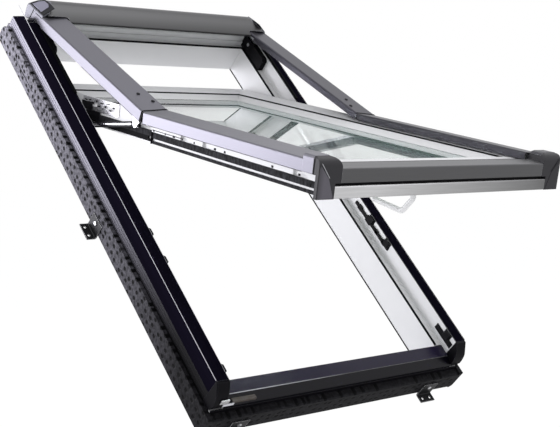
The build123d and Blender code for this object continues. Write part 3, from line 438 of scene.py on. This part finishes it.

# %% [markdown]
# Coated sheet clads the rails and the sill outside. The rails look black from every side, so their mirror
# part is turned off and only the painted edge highlight and a trace of blue remain. The sill keeps a sheen,
# which is why it shows dark blue against the rails. Its lower part is painted darker than its top, down to
# an eighth: painted shade.

# %% Coated sheet
black_gloss = metal_or_plastic("black_coated_sheet", (0.0045, 0.0038, 0.0080), frame_pitch,
                               roughness=0.30, specular=0.0, grain_scale=along, density=40, contrast=0.5,
                               spread=0.4, edge_highlight_color=(0.16, 0.16, 0.18), edge_radius=0.0008)
sill_gloss = metal_or_plastic("dark_sill_sheet", (0.014, 0.011, 0.030), frame_pitch, roughness=0.24,
                              specular=0.24, grain_scale=across, density=30, contrast=0.5, spread=0.3,
                              edge_highlight_color=(0.2, 0.2, 0.22), painted_light_fade=("Y", 0.0065, 0.0035, 0.12))
# A painted highlight for the bright fold lines: pale, and dimmed to a tenth towards the far side.
fold_highlight_finish = metal_or_plastic("painted_fold_highlight", (0.62, 0.62, 0.66), frame_pitch, roughness=0.4, density=300,
                               contrast=0.4, painted_light_fade=("X", -0.26, 0.02, 0.10))
# The side strip is painted darker down the roof, to a twentieth at its lower end: painted shade.
silver_strip = metal_or_plastic("silver_strip", (0.145, 0.141, 0.168), frame_pitch, metallic=0.9,
                                roughness=0.36, grain_scale=along, density=900, contrast=0.4, bump=0.04,
                                spread=0.2, painted_light_fade=("Y", 1.05, 0.15, 0.05))
print("sheet finishes:", black_gloss.name, sill_gloss.name)

# %% [markdown]
# The rest is what holds and seals: moulded black plastic, rubber, plated steel, and the metal spacer
# between the panes. Rubber has almost no gloss, so its specular part is near zero. The ribbed rubber is
# one strong grain squeezed along the gasket, which is cheaper than modelling hundreds of ribs.

# %% Plastic, rubber and steel
black_plastic = metal_or_plastic("moulded_black", (0.0045, 0.0042, 0.0058), frame_pitch, roughness=0.45,
                                 density=700, contrast=0.5, bump=0.2, specular=0.08,
                                 edge_highlight_color=(0.06, 0.06, 0.07))
rubber = metal_or_plastic("black_rubber", (0.0035, 0.0035, 0.0045), frame_pitch, roughness=0.6,
                          density=300, contrast=0.5, bump=0.2, specular=0.05)
# Its pale stripes are painted highlights on the crests of the ribs.
ribbed = metal_or_plastic("ribbed_rubber", (0.024, 0.024, 0.027), sash_pitch, roughness=0.6,
                          grain_scale=(0.1, 1, 0.3), density=230, contrast=1.0, bump=0.8, specular=0.05,
                          spread=0.97)
steel = metal_or_plastic("plated_steel", (0.62, 0.62, 0.64), frame_pitch, metallic=1.0, roughness=0.26,
                         density=300, contrast=0.5, spread=0.15, edge_highlight_color=(0.85, 0.85, 0.87))
dark_steel = metal_or_plastic("dark_bracket_steel", (0.016, 0.016, 0.018), frame_pitch, metallic=0.6,
                              roughness=0.4, density=300, contrast=0.5, spread=0.2,
                              edge_highlight_color=(0.8, 0.8, 0.82), edge_radius=0.0012)
tube_steel = metal_or_plastic("polished_tube", (0.78, 0.78, 0.80), frame_pitch, metallic=1.0,
                              roughness=0.16, density=200, contrast=0.4, spread=0.05)
wall_grey = metal_or_plastic("light_grey_wall", (0.80, 0.80, 0.81), frame_pitch, roughness=0.35,
                             density=30, contrast=0.3, spread=0.03)
# The spacer is painted up to sixteen times brighter towards +X: painted light, since the panes shade it
# from the lamps.
spacer = metal_or_plastic("spacer_metal", (0.035, 0.045, 0.045), sash_pitch, roughness=0.4, density=100,
                          painted_light_fade=("X", 0.12, 0.24, 16.0))
handle_white = metal_or_plastic("white_handle", (0.84, 0.84, 0.84), sash_pitch, roughness=0.22,
                                density=20, contrast=0.3, spread=0.02)
print("materials so far:", len(bpy.data.materials))

# %% [markdown]
# The foam collar is moulded with rows of dimples, which look black in the light from above. A flat Voronoi
# pattern, read along the collar and across its depth, gives the place of each dimple. Its centre is painted
# near black, as painted shade in the hollow, and pressed in by the same mask, and a finer noise keeps the
# skin between them uneven. The skin is also painted darker down the roof, as painted shade away from the
# light at the upper end. Real dimples would need a mesh of many thousand faces, and nobody comes near
# enough to miss them.

# %% Foam
cells_per_metre = (46, 58)


def foam_finish(name, run):
    """Foam with rows of dimples that lie along one axis of the frame and across its depth."""
    foam = bpy.data.materials.new(name)
    foam.use_nodes = True
    tree = foam.node_tree
    shader = tree.nodes["Principled BSDF"]
    shader.inputs["Roughness"].default_value = 0.6
    shader.inputs["Specular IOR Level"].default_value = 0.08
    where = tree.nodes.new("ShaderNodeTexCoord")
    turn = tree.nodes.new("ShaderNodeMapping")
    turn.inputs["Rotation"].default_value = (math.radians(-pitch_of["frame"]), 0, 0)
    tree.links.new(where.outputs["Object"], turn.inputs["Vector"])
    parts = tree.nodes.new("ShaderNodeSeparateXYZ")
    tree.links.new(turn.outputs["Vector"], parts.inputs[0])
    spread = tree.nodes.new("ShaderNodeCombineXYZ")
    for axis, out in ((run, "X"), ("Z", "Y")):
        wider = tree.nodes.new("ShaderNodeMath")
        wider.operation = "MULTIPLY"
        wider.inputs[1].default_value = cells_per_metre[0] if out == "X" else cells_per_metre[1]
        tree.links.new(parts.outputs[axis], wider.inputs[0])
        tree.links.new(wider.outputs["Value"], spread.inputs[out])
    cells = tree.nodes.new("ShaderNodeTexVoronoi")
    cells.voronoi_dimensions = "2D"
    cells.inputs["Scale"].default_value = 1.0
    cells.inputs["Randomness"].default_value = 0.5
    tree.links.new(spread.outputs["Vector"], cells.inputs["Vector"])
    dimple = tree.nodes.new("ShaderNodeMapRange")
    dimple.inputs["From Min"].default_value = 0.17
    dimple.inputs["From Max"].default_value = 0.30
    tree.links.new(cells.outputs["Distance"], dimple.inputs["Value"])
    speckle = tree.nodes.new("ShaderNodeTexNoise")
    speckle.inputs["Scale"].default_value = 160.0
    speckle.inputs["Detail"].default_value = 4.0
    tree.links.new(where.outputs["Object"], speckle.inputs["Vector"])
    skin_tone = tree.nodes.new("ShaderNodeValToRGB")
    skin_tone.color_ramp.elements[0].position = 0.36
    skin_tone.color_ramp.elements[0].color = (0.13, 0.126, 0.148, 1)
    skin_tone.color_ramp.elements[1].position = 0.64
    skin_tone.color_ramp.elements[1].color = (0.33, 0.32, 0.37, 1)
    tree.links.new(speckle.outputs["Fac"], skin_tone.inputs["Fac"])
    # Painted shade: the skin darkens down the roof to about a twentieth.
    skin_shaded_down_roof = painted_light_along(tree, where.outputs["Object"], ("Y", 0.80, 0.04, 0.055), skin_tone.outputs["Color"])
    # Painted shade: the dimple centres are painted near black.
    pressed = tree.nodes.new("ShaderNodeMix")
    pressed.data_type = "RGBA"
    pressed.inputs["A"].default_value = (0.002, 0.002, 0.0025, 1)
    tree.links.new(dimple.outputs["Result"], pressed.inputs["Factor"])
    tree.links.new(skin_shaded_down_roof, pressed.inputs["B"])
    tree.links.new(pressed.outputs["Result"], shader.inputs["Base Color"])
    dent = tree.nodes.new("ShaderNodeBump")
    dent.inputs["Strength"].default_value = 0.8
    dent.inputs["Distance"].default_value = 0.002
    tree.links.new(dimple.outputs["Result"], dent.inputs["Height"])
    tree.links.new(dent.outputs["Normal"], shader.inputs["Normal"])
    return foam


foam_sides = foam_finish("dimpled_foam_sides", "Y")
foam_ends = foam_finish("dimpled_foam_ends", "X")
print("foam cells per metre:", cells_per_metre)

# %% [markdown]
# The window holds two panes of float glass. Each is one clear shader with the index of refraction of
# glass. The faint green of its base colour is what gives panes their green edge. A mix with a plain
# transparent shader would be quicker to render, but it would lose the bent view through the panes.

# %% Glass
clear = bpy.data.materials.new("float_glass")
clear.use_nodes = True
tree = clear.node_tree
shader = tree.nodes["Principled BSDF"]
shader.inputs["Base Color"].default_value = (0.95, 0.99, 0.97, 1)
shader.inputs["Roughness"].default_value = 0.0
shader.inputs["IOR"].default_value = 1.5
shader.inputs["Transmission Weight"].default_value = 1.0
print("glass made:", clear.name)

# %% [markdown]
# Now each solid gets its finish. The list follows the window from its covers down to its fittings, so a
# solid without a finish would be easy to spot. A finish is shared wherever the real material is.

# %% Dress the solids
dress(["arm_cover_left"], cover_yoke)
dress(["arm_cover_right"], arm_cover_painted_shade)
dress(["hood_cover"], cover_hood)
dress(["hood_cap_left", "hood_cap_right"], cap_hood)
dress(["sash_cover_left"], cover_sash)
dress(["sash_cover_right"], sash_cover_painted_shade)
dress(["sash_bar_upper"], bar_grey)
dress(["sash_bar_lower"], bar_brushed)
dress(["corner_cap_left", "corner_cap_right"], cap_grey)
dress(["frame_profile"], white_frame)
dress(["sash_frame", "sash_flange_left", "sash_flange_right"], white_sash)
dress(["side_cladding_left", "side_cladding_right", "head_cladding"], black_gloss)
dress(["sill_cladding"], sill_gloss)
dress(["side_strips"], silver_strip)
dress(["corner_block_left", "corner_block_right", "hinge_housing_left", "hinge_housing_right", "strikers",
       "sash_rail", "shoe_left", "shoe_right"], black_plastic)
dress(["frame_gasket", "rail_seals", "bead_gasket", "sash_seals"], rubber)
dress(["flange_seals"], ribbed)
dress(["side_brackets", "sill_brackets", "head_brackets"], dark_steel)
dress(["bracket_screws", "hinge_pins", "guide_track_left", "guide_track_right", "lift_arm_left",
       "lift_arm_right", "knee_pins", "side_plate_left", "side_plate_right"], steel)
dress(["stay_left", "stay_right"], tube_steel)
dress(["cover_screws"], black_plastic)
dress(["insulation_left", "insulation_right"], foam_sides)
dress(["insulation_sill", "insulation_head"], foam_ends)
dress(["head_wall_profile"], wall_grey)
dress(["glass_spacer"], spacer)
dress(["outer_pane", "inner_pane"], clear)
dress(["handle_rosette", "handle_grip"], handle_white)
print("materials in use:", len({node.data.materials[0].name for node in nodes.values()}))

# %% [markdown]
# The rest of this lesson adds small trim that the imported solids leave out. Two helpers serve it. One
# starts from a primitive cube, sizes it and rounds its edges, as a moulding tool would. The other
# bends a flat grid along a line of points and gives it a thickness, as a folding press would. Both
# work in a body's flat coordinates, in millimetres, and then lay the piece on its opened body.

# %% Helpers for small trim
place_of = {"frame": on_frame, "yoke": on_yoke, "sash": on_sash}
sides = (("left", -1), ("right", 1))


def on_side(sign, inner, outer):
    """The two x values of a piece between two distances from the middle, the smaller one first."""
    return sorted((sign * inner, sign * outer))


def settle(piece, name, body, finish):
    """Name a finished piece, lay it on its body and let it ride."""
    piece.name = name
    piece.matrix_world = place_of[body]
    bpy.ops.object.transform_apply(location=True, rotation=True, scale=True)
    piece.data.materials.append(finish)
    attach(piece, body)
    return piece


def moulded(name, body, low, high, finish, radius=0.4):
    """A block between two corners, with rounded edges."""
    bpy.ops.object.select_all(action="DESELECT")
    bpy.ops.mesh.primitive_cube_add(size=1)
    piece = bpy.context.object
    piece.scale = [(b - a) / 1000 for a, b in zip(low, high)]
    piece.location = [(a + b) / 2000 for a, b in zip(low, high)]
    bpy.ops.object.transform_apply(location=True, rotation=False, scale=True)
    bpy.ops.object.mode_set(mode="EDIT")
    bpy.ops.mesh.select_all(action="SELECT")
    bpy.ops.mesh.bevel(offset=radius / 1000, segments=2, affect="EDGES")
    bpy.ops.object.mode_set(mode="OBJECT")
    return settle(piece, name, body, finish)


def folded(name, body, line, start, end, thick, finish):
    """Sheet bent along a line of (x, z) points and drawn out from start to end up the roof."""
    bpy.ops.object.select_all(action="DESELECT")
    bpy.ops.mesh.primitive_grid_add(x_subdivisions=len(line) - 1, y_subdivisions=1, size=1)
    piece = bpy.context.object
    steps = len(line) - 1
    for vertex in piece.data.vertices:
        x, z = line[round((vertex.co.x + 0.5) * steps)]
        y = start if vertex.co.y < 0 else end
        vertex.co = (x / 1000, y / 1000, z / 1000)
    bpy.ops.object.modifier_add(type="SOLIDIFY")
    piece.modifiers[-1].thickness = thick / 1000
    piece.modifiers[-1].offset = 0
    bpy.ops.object.modifier_apply(modifier=piece.modifiers[-1].name)
    bpy.ops.object.mode_set(mode="EDIT")
    bpy.ops.mesh.select_all(action="SELECT")
    bpy.ops.mesh.normals_make_consistent(inside=False)
    bpy.ops.object.mode_set(mode="OBJECT")
    return settle(piece, name, body, finish)


print("flat places for:", sorted(place_of))

# %% [markdown]
# Where the arm cover ends over the knee, a soft black lip closes the gap to the cover of the sash. It
# follows the section of the cover: up the side, over the fold and across the sloping top. An apron of
# the same rubber lies under both covers, so that the closed window shows no bright steel in the gap.
# On the real window both are cut from extruded rubber and pressed on, so here too they are one section
# drawn out along the cover. The same helper makes thin black strips along the covers' lower edges, painted
# shade under the covers.

# %% Lips over the knees
lip_line = [(350.4, 1.0), (350.4, 23.6), (349.4, 26.0), (347.2, 27.6), (287.6, 32.1), (285.4, 31.2),
            (284.6, 16.0)]
apron_line = [(347.5, 3.0), (347.5, 22.8), (345.4, 24.8), (288.8, 29.1), (287.5, 28.6), (287.5, 17.0)]
for side, sign in sides:
    folded("knee_apron_" + side, "yoke", [(sign * x, z) for x, z in apron_line], 566.0, 583.0, 0.8, rubber)
    mirrored_line = [(sign * x, z) for x, z in lip_line]
    folded("knee_lip_" + side, "yoke", mirrored_line, 582.0, 585.4, 1.0, rubber)
    # Painted shade: a thin black strip under each cover's lower edge.
    shade_line_points = [(sign * 349.9, 1.6), (sign * 349.9, 0.8), (sign * 348.6, 0.8)]
    folded("cover_shade_line_" + side, "sash", shade_line_points, 40.0, 571.0, 0.5, rubber)
    folded("arm_shade_line_" + side, "yoke", shade_line_points, 587.0, 860.0, 0.5, rubber)
print("knee lips follow", len(lip_line), "points")

# %% [markdown]
# The end of the hood is a moulded cap. A raised ring with a paler lens in it sits on its leaning face. The
# ring could be cut into the cap; it is a polygon pushed out of the face, because the cap itself is a solid
# that stays as it is. A small bevel lets its rim take a fine line of light. Six short dark blocks follow
# the curved joint between cap and cover. On the near cap the lens is pale lavender, a painted highlight; on
# the far cap it takes the dark finish of the ring, as painted shade.

# %% Rings and lenses on the hood
lean_x, lean_z = 348.1, 29.0
lean_run, lean_rise = 31.0, 23.0
lean_out, lean_up = 0.596, 0.803


def on_lean(y, z, proud, sign):
    """A place on the leaning face of the hood's end, a little proud of it."""
    x = lean_x - lean_run * (z - lean_z) / lean_rise
    return (sign * (x + lean_out * proud), y, z + lean_up * proud)


def plaque(name, outline, base, height, finish, sign):
    """A flat polygon on the leaning face, drawn out by its height and bevelled."""
    bpy.ops.object.select_all(action="DESELECT")
    bpy.ops.mesh.primitive_circle_add(vertices=len(outline), radius=1, fill_type="NGON")
    piece = bpy.context.object
    for vertex, (y, z) in zip(piece.data.vertices, outline):
        vertex.co = [c / 1000 for c in on_lean(y, z, base, sign)]
    rise = [c / 1000 for c in on_lean(0, lean_z, height, sign)]
    ground = [c / 1000 for c in on_lean(0, lean_z, 0, sign)]
    bpy.ops.object.mode_set(mode="EDIT")
    bpy.ops.mesh.select_all(action="SELECT")
    push = [b - a for a, b in zip(ground, rise)]
    bpy.ops.mesh.extrude_region_move(TRANSFORM_OT_translate={"value": push})
    bpy.ops.mesh.select_all(action="SELECT")
    bpy.ops.mesh.normals_make_consistent(inside=False)
    bpy.ops.mesh.bevel(offset=0.0003, segments=1, affect="EDGES")
    bpy.ops.object.mode_set(mode="OBJECT")
    return settle(piece, name, "yoke", finish)


ring_outline = [(1082.0, 30.4), (1082.6, 50.5), (1110.0, 51.6), (1137.0, 50.8), (1151.0, 42.0),
                (1157.0, 31.0)]
lens_outline = [(1098.0, 32.4), (1100.0, 45.8), (1112.0, 48.8), (1132.0, 48.4), (1143.0, 41.5),
                (1148.0, 32.4)]
line_steps = 6
dark_ring = metal_or_plastic("dark_hood_ring", (0.012, 0.012, 0.015), yoke_pitch, roughness=0.4,
                             specular=0.2)
near_lens_highlight = metal_or_plastic("lens_painted_highlight", (0.24, 0.235, 0.30), yoke_pitch, metallic=0.5,
                             roughness=0.35)
for side, sign in sides:
    plaque("hood_ring_" + side, ring_outline, 0.1, 1.2, dark_ring, sign)
    # Painted light: the near lens is pale, the far one dark.
    lens = near_lens_highlight if side == "left" else dark_ring
    plaque("hood_lens_" + side, lens_outline, 1.3, 0.7, lens, sign)
    near, far = on_side(sign, 347.9, 348.6)
    for number in range(line_steps):
        start = 1138.6 - 2.1 * number
        low = -5.0 + 5.5 * number
        name = "cap_line_%s_%d" % (side, number)
        moulded(name, "yoke", (near, start, low), (far, start + 2.6, low + 5.7), dark_ring, 0.2)
print("hood ring and lens corners:", len(ring_outline), len(lens_outline))

# %% [markdown]
# A steel plate is fixed to each side of the sash. It has punched slots and riveted studs, which show
# as small dark marks, and a black foot where it meets the track. Cutting the slots would change a solid
# that other tools measure, so each mark is a thin dark block set on the face. Every mark is one row of a
# table: its place up the roof, its height, its length and its width.

# %% Marks on the side plates
marks = [
    (868, 12.0, 10, 3.0), (850, 13.5, 6, 2.4), (836, 8.0, 12, 4.0), (820, 14.0, 5, 4.2),
    (808, 3.5, 14, 3.0), (796, 12.5, 9, 3.0), (780, 6.5, 6, 5.0), (768, 14.5, 12, 2.2),
    (758, 1.5, 8, 4.0), (744, 9.0, 7, 4.5),
]
# The dark blocks that stand for the punched slots are painted shade in the openings.
for side, sign in sides:
    for number, (y, z, long, tall) in enumerate(marks):
        near, far = on_side(sign, 317.2, 317.9)
        low, high = (near, y - long / 2, z - tall / 2), (far, y + long / 2, z + tall / 2)
        moulded("plate_mark_%s_%d" % (side, number), "sash", low, high, black_plastic, 0.2)
    near, far = on_side(sign, 317.1, 317.9)
    moulded("plate_foot_" + side, "sash", (near, 838, -9.5), (far, 884, 9.0), black_plastic, 0.2)
    moulded("track_foot_" + side, "sash", (near, 800, -31.0), (far, 862, -9.0), black_plastic, 0.2)
print("marks on each side plate:", len(marks))

# %% [markdown]
# The white side of the sash is not one face. A bead runs along it under the cover, with a slot and small
# black studs for the latches, and a thin dark line, painted shade under the bead, runs along its lower
# edge. The line stops where the catches sit. Rows of two numbers, start and end up the roof, are enough to
# place them all.

# %% Slots and studs on the sash side
studs = [(548, 553), (505, 508), (470, 478), (441, 444), (398, 402), (324, 331), (292, 297), (140, 146),
         (60, 66)]
shade_line_runs = [(78, 333), (367, 412), (446, 556)]
for side, sign in sides:
    near, far = on_side(sign, 332.8, 333.6)
    moulded("latch_slot_" + side, "sash", (near, 441, -10.0), (far, 556, -8.6), black_plastic, 0.2)
    # Painted shade: thin dark strips along the lower edge of the bead.
    for number, (start, end) in enumerate(shade_line_runs):
        name = "bead_shade_line_%s_%d" % (side, number)
        moulded(name, "sash", (near, start, -14.6), (far, end, -13.4), black_plastic, 0.2)
    for number, (start, end) in enumerate(studs):
        name = "latch_stud_%s_%d" % (side, number)
        moulded(name, "sash", (near, start, -12.5), (far, end, -8.0), black_plastic, 0.3)
print("studs on each side:", len(studs))

# %% [markdown]
# Each stay is a bright tube between two black strips along its upper and lower edges, painted shade where
# the round tube turns away from the light, and ends in a black collar round its eye. The stays lie level
# when the window is open, so these pieces are placed straight in the room's axes, and no turned frame is
# needed.

# %% Shade strips and collars of the stays
stay_height = 609.1
place_of["stay_left"] = place_of["stay_right"] = Matrix.Identity(4)
for side, sign in sides:
    near, far = on_side(sign, 326.4, 333.8)
    body = "stay_" + side
    # Painted shade: two black strips along the tube's upper and lower edges.
    for part, low, high in (("_upper_shade_strip", 3.4, 6.4), ("_lower_shade_strip", -6.4, -3.4)):
        below, above = (near, 272, stay_height + low), (far, 452, stay_height + high)
        moulded(body + part, body, below, above, black_plastic, 0.3)
    below, above = (near, 251, stay_height - 6.6), (far, 284, stay_height + 6.6)
    moulded(body + "_collar", body, below, above, black_plastic, 2.6)
print("stay shade strips at height in mm:", stay_height)

# %% [markdown]
# The gasket bands of the sash side carry on behind the knee, closer in, up to the side plate. They are
# rubber strips pushed into a groove of the profile. Two long blocks stand for them, and a small stop
# closes the step between the outer and the inner run.

# %% Bands behind the knee
for side, sign in sides:
    near, far = on_side(sign, 314.0, 317.6)
    moulded("back_band_%s_0" % side, "sash", (near, 560, -28.0), (far, 800, -15.0), ribbed, 0.3)
    moulded("back_band_%s_1" % side, "sash", (near, 560, -39.5), (far, 800, -33.5), rubber, 0.3)
    near, far = on_side(sign, 314.4, 333.4)
    moulded("flange_stop_" + side, "sash", (near, 557.9, -39.9), (far, 559.6, -12.0), rubber, 0.3)
print("bands behind each knee: 2")

# %% [markdown]
# The corner caps are moulded in two shells. Their seam shows on the front as a slanting pale line, a
# painted highlight, and a black edge stands where the cap meets the end of the sash side. The outer shell
# is a thin plate on the cap's front, the seam a narrower one on top, so each keeps its own finish. On the
# near cap the shell is a lighter copy of the cap's grey, painted light, darker towards its outer side. A
# folded sleeve of cover sheet runs over the joint behind the cap. The far cap lies in shade: its shell
# keeps the cap's own grey, its seam is painted black and its sleeve takes the painted-shade grey of the far
# sash cover.

# %% Seams of the corner caps
def shell_on_front(name, sign, corners, base, finish):
    """A flat shell of (x, z) corners on the front of a corner cap."""
    bpy.ops.object.select_all(action="DESELECT")
    bpy.ops.mesh.primitive_circle_add(vertices=len(corners), radius=1, fill_type="NGON")
    piece = bpy.context.object
    for vertex, (x, z) in zip(piece.data.vertices, corners):
        vertex.co = (sign * x / 1000, -base / 1000, z / 1000)
    bpy.ops.object.mode_set(mode="EDIT")
    bpy.ops.mesh.select_all(action="SELECT")
    bpy.ops.mesh.extrude_region_move(TRANSFORM_OT_translate={"value": (0, -0.0007, 0)})
    bpy.ops.mesh.select_all(action="SELECT")
    bpy.ops.mesh.normals_make_consistent(inside=False)
    bpy.ops.mesh.bevel(offset=0.0002, segments=1, affect="EDGES")
    bpy.ops.object.mode_set(mode="OBJECT")
    return settle(piece, name, "sash", finish)


seam_painted_highlight = metal_or_plastic("seam_painted_highlight", (0.46, 0.46, 0.48), sash_pitch, roughness=0.4)
near_shell_painted_light = metal_or_plastic("cap_shell_painted_light", (0.105, 0.098, 0.118), sash_pitch, roughness=0.38,
                              density=900, contrast=0.4, bump=0.15, painted_light_fade=("X", -0.335, -0.352, 0.35))
seam_corners = [(344.6, 24.0), (343.0, 24.0), (321.2, -3.0), (322.8, -3.0)]
shell_corners = [(348.6, 15.0), (345.2, 19.0), (323.6, -4.0), (311.0, -36.0), (309.6, -41.0),
                 (348.6, -41.0)]
# Painted light and shade: the near cap takes lit copies, the far cap shaded ones.
caps_lit_and_shaded = {
    "left": (near_shell_painted_light, seam_painted_highlight, cover_sash),
    "right": (cap_grey, black_plastic, sash_cover_painted_shade),
}
sleeve_line = [(350.4, 2.0), (350.4, 30.8), (349.2, 33.9), (346.0, 35.9), (314.0, 35.9), (305.4, 34.1),
               (298.2, 29.4)]
for side, sign in sides:
    shell, seam, sheet = caps_lit_and_shaded[side]
    shell_on_front("cap_shell_" + side, sign, shell_corners, 7.5, shell)
    shell_on_front("cap_seam_" + side, sign, seam_corners, 7.7, seam)
    near, far = on_side(sign, 349.8, 350.5)
    moulded("cap_edge_" + side, "sash", (near, 5.5, 2.0), (far, 8.5, 31.0), black_plastic, 0.2)
    sleeve = [(sign * x, z) for x, z in sleeve_line]
    folded("cap_sleeve_" + side, "sash", sleeve, 9.0, 38.6, 0.5, sheet)
print("corners of a cap's shell:", len(shell_corners))

# %% [markdown]
# On each rail the two upper keepers share one long lock bar with rounded lobes. It is black steel,
# screwed to the inner wall of the rail. The bar could be one outline cut from plate;
# separate rounded blocks give the same edge and leave each lobe easy to move.

# %% Lock bars
lobes = [(352, 366, 3), (388, 402, 2), (424, 446, 5), (470, 486, 3)]
for side, sign in sides:
    near, far = on_side(sign, 334.0, 337.8)
    moulded("lock_bar_" + side, "frame", (near, 338, -22), (far, 500, -13), black_plastic, 1.0)
    for number, (start, end, more) in enumerate(lobes):
        low, high = (near, start, -21 - more), (far, end, -13 + more)
        moulded("lock_lobe_%s_%d" % (side, number), "frame", low, high, black_plastic, 1.6)
print("lobes on each lock bar:", len(lobes))

# %% [markdown]
# Coated sheet shows a bright line where it is folded and catches the light; here it is a painted highlight.
# The outer fold and the inner lip of each rail get such a line. It is painted bright on the near side and
# dull on the far one. The edge highlight group alone draws it too faint at this distance, so a thin strip,
# slightly proud, stands for it.

# %% Fold lines of the rails
for side, sign in sides:
    # Painted highlight: a thin pale strip along each fold.
    near, far = on_side(sign, 369.2, 370.4)
    moulded("outer_fold_highlight_" + side, "frame", (near, 34, -0.9), (far, 1176, 0.2), fold_highlight_finish, 0.3)
    near, far = on_side(sign, 337.9, 338.6)
    moulded("inner_fold_highlight_" + side, "frame", (near, 34, -0.5), (far, 1020, 0.2), fold_highlight_finish, 0.2)
print("fold lines on each rail: 2")

# %% [markdown]
# A black gasket closes the gap between the frame and the lining of the room. Only its edge shows, as a
# thin line along the lower inner corner of the frame, so one long thin block on each side is enough.

# %% Lining gasket
for side, sign in sides:
    near, far = on_side(sign, 319.0, 320.4)
    moulded("lining_gasket_" + side, "frame", (near, 20, -125.6), (far, 1120, -122.4), rubber, 0.3)
print("lining gasket on", len(sides), "sides")

# %% [markdown]
# A bright clip and a brown stretch of tape show at the left end of the sill. The tape seals the joint of
# the sill sheet, and the clip holds the sheet down; the clip's tongue takes the painted fold highlight. A
# thin bright nose, a painted highlight, marks the sheet's front fold, and a black skirt, painted shade in
# the recess under it, covers the white ledge of the profile under it. All are blocks with rounded edges.

# %% Clip and tape on the sill
tape = metal_or_plastic("brown_tape", (0.060, 0.046, 0.038), frame_pitch, roughness=0.35, density=120,
                        contrast=0.6)
moulded("sill_clip_left", "frame", (-356.0, 1.2, -43.0), (-334.4, 5.2, -31.0), steel, 1.2)
moulded("sill_clip_tongue", "frame", (-346.0, 0.4, -50.0), (-318.0, 2.6, -43.2), fold_highlight_finish, 0.8)
moulded("sill_tape_left", "frame", (-318.0, 5.0, -51.6), (-256.0, 15.0, -46.2), tape, 0.5)
# Painted highlight on the front fold, and painted shade in the recess below it.
moulded("sill_nose_highlight", "frame", (-336.0, 23.4, -45.0), (336.0, 25.2, -43.8), fold_highlight_finish, 0.3)
moulded("sill_recess_shade", "frame", (-368.0, 1.4, -71.9), (368.0, 3.5, -61.3), black_plastic, 0.4)
print("tape finish made:", tape.name)
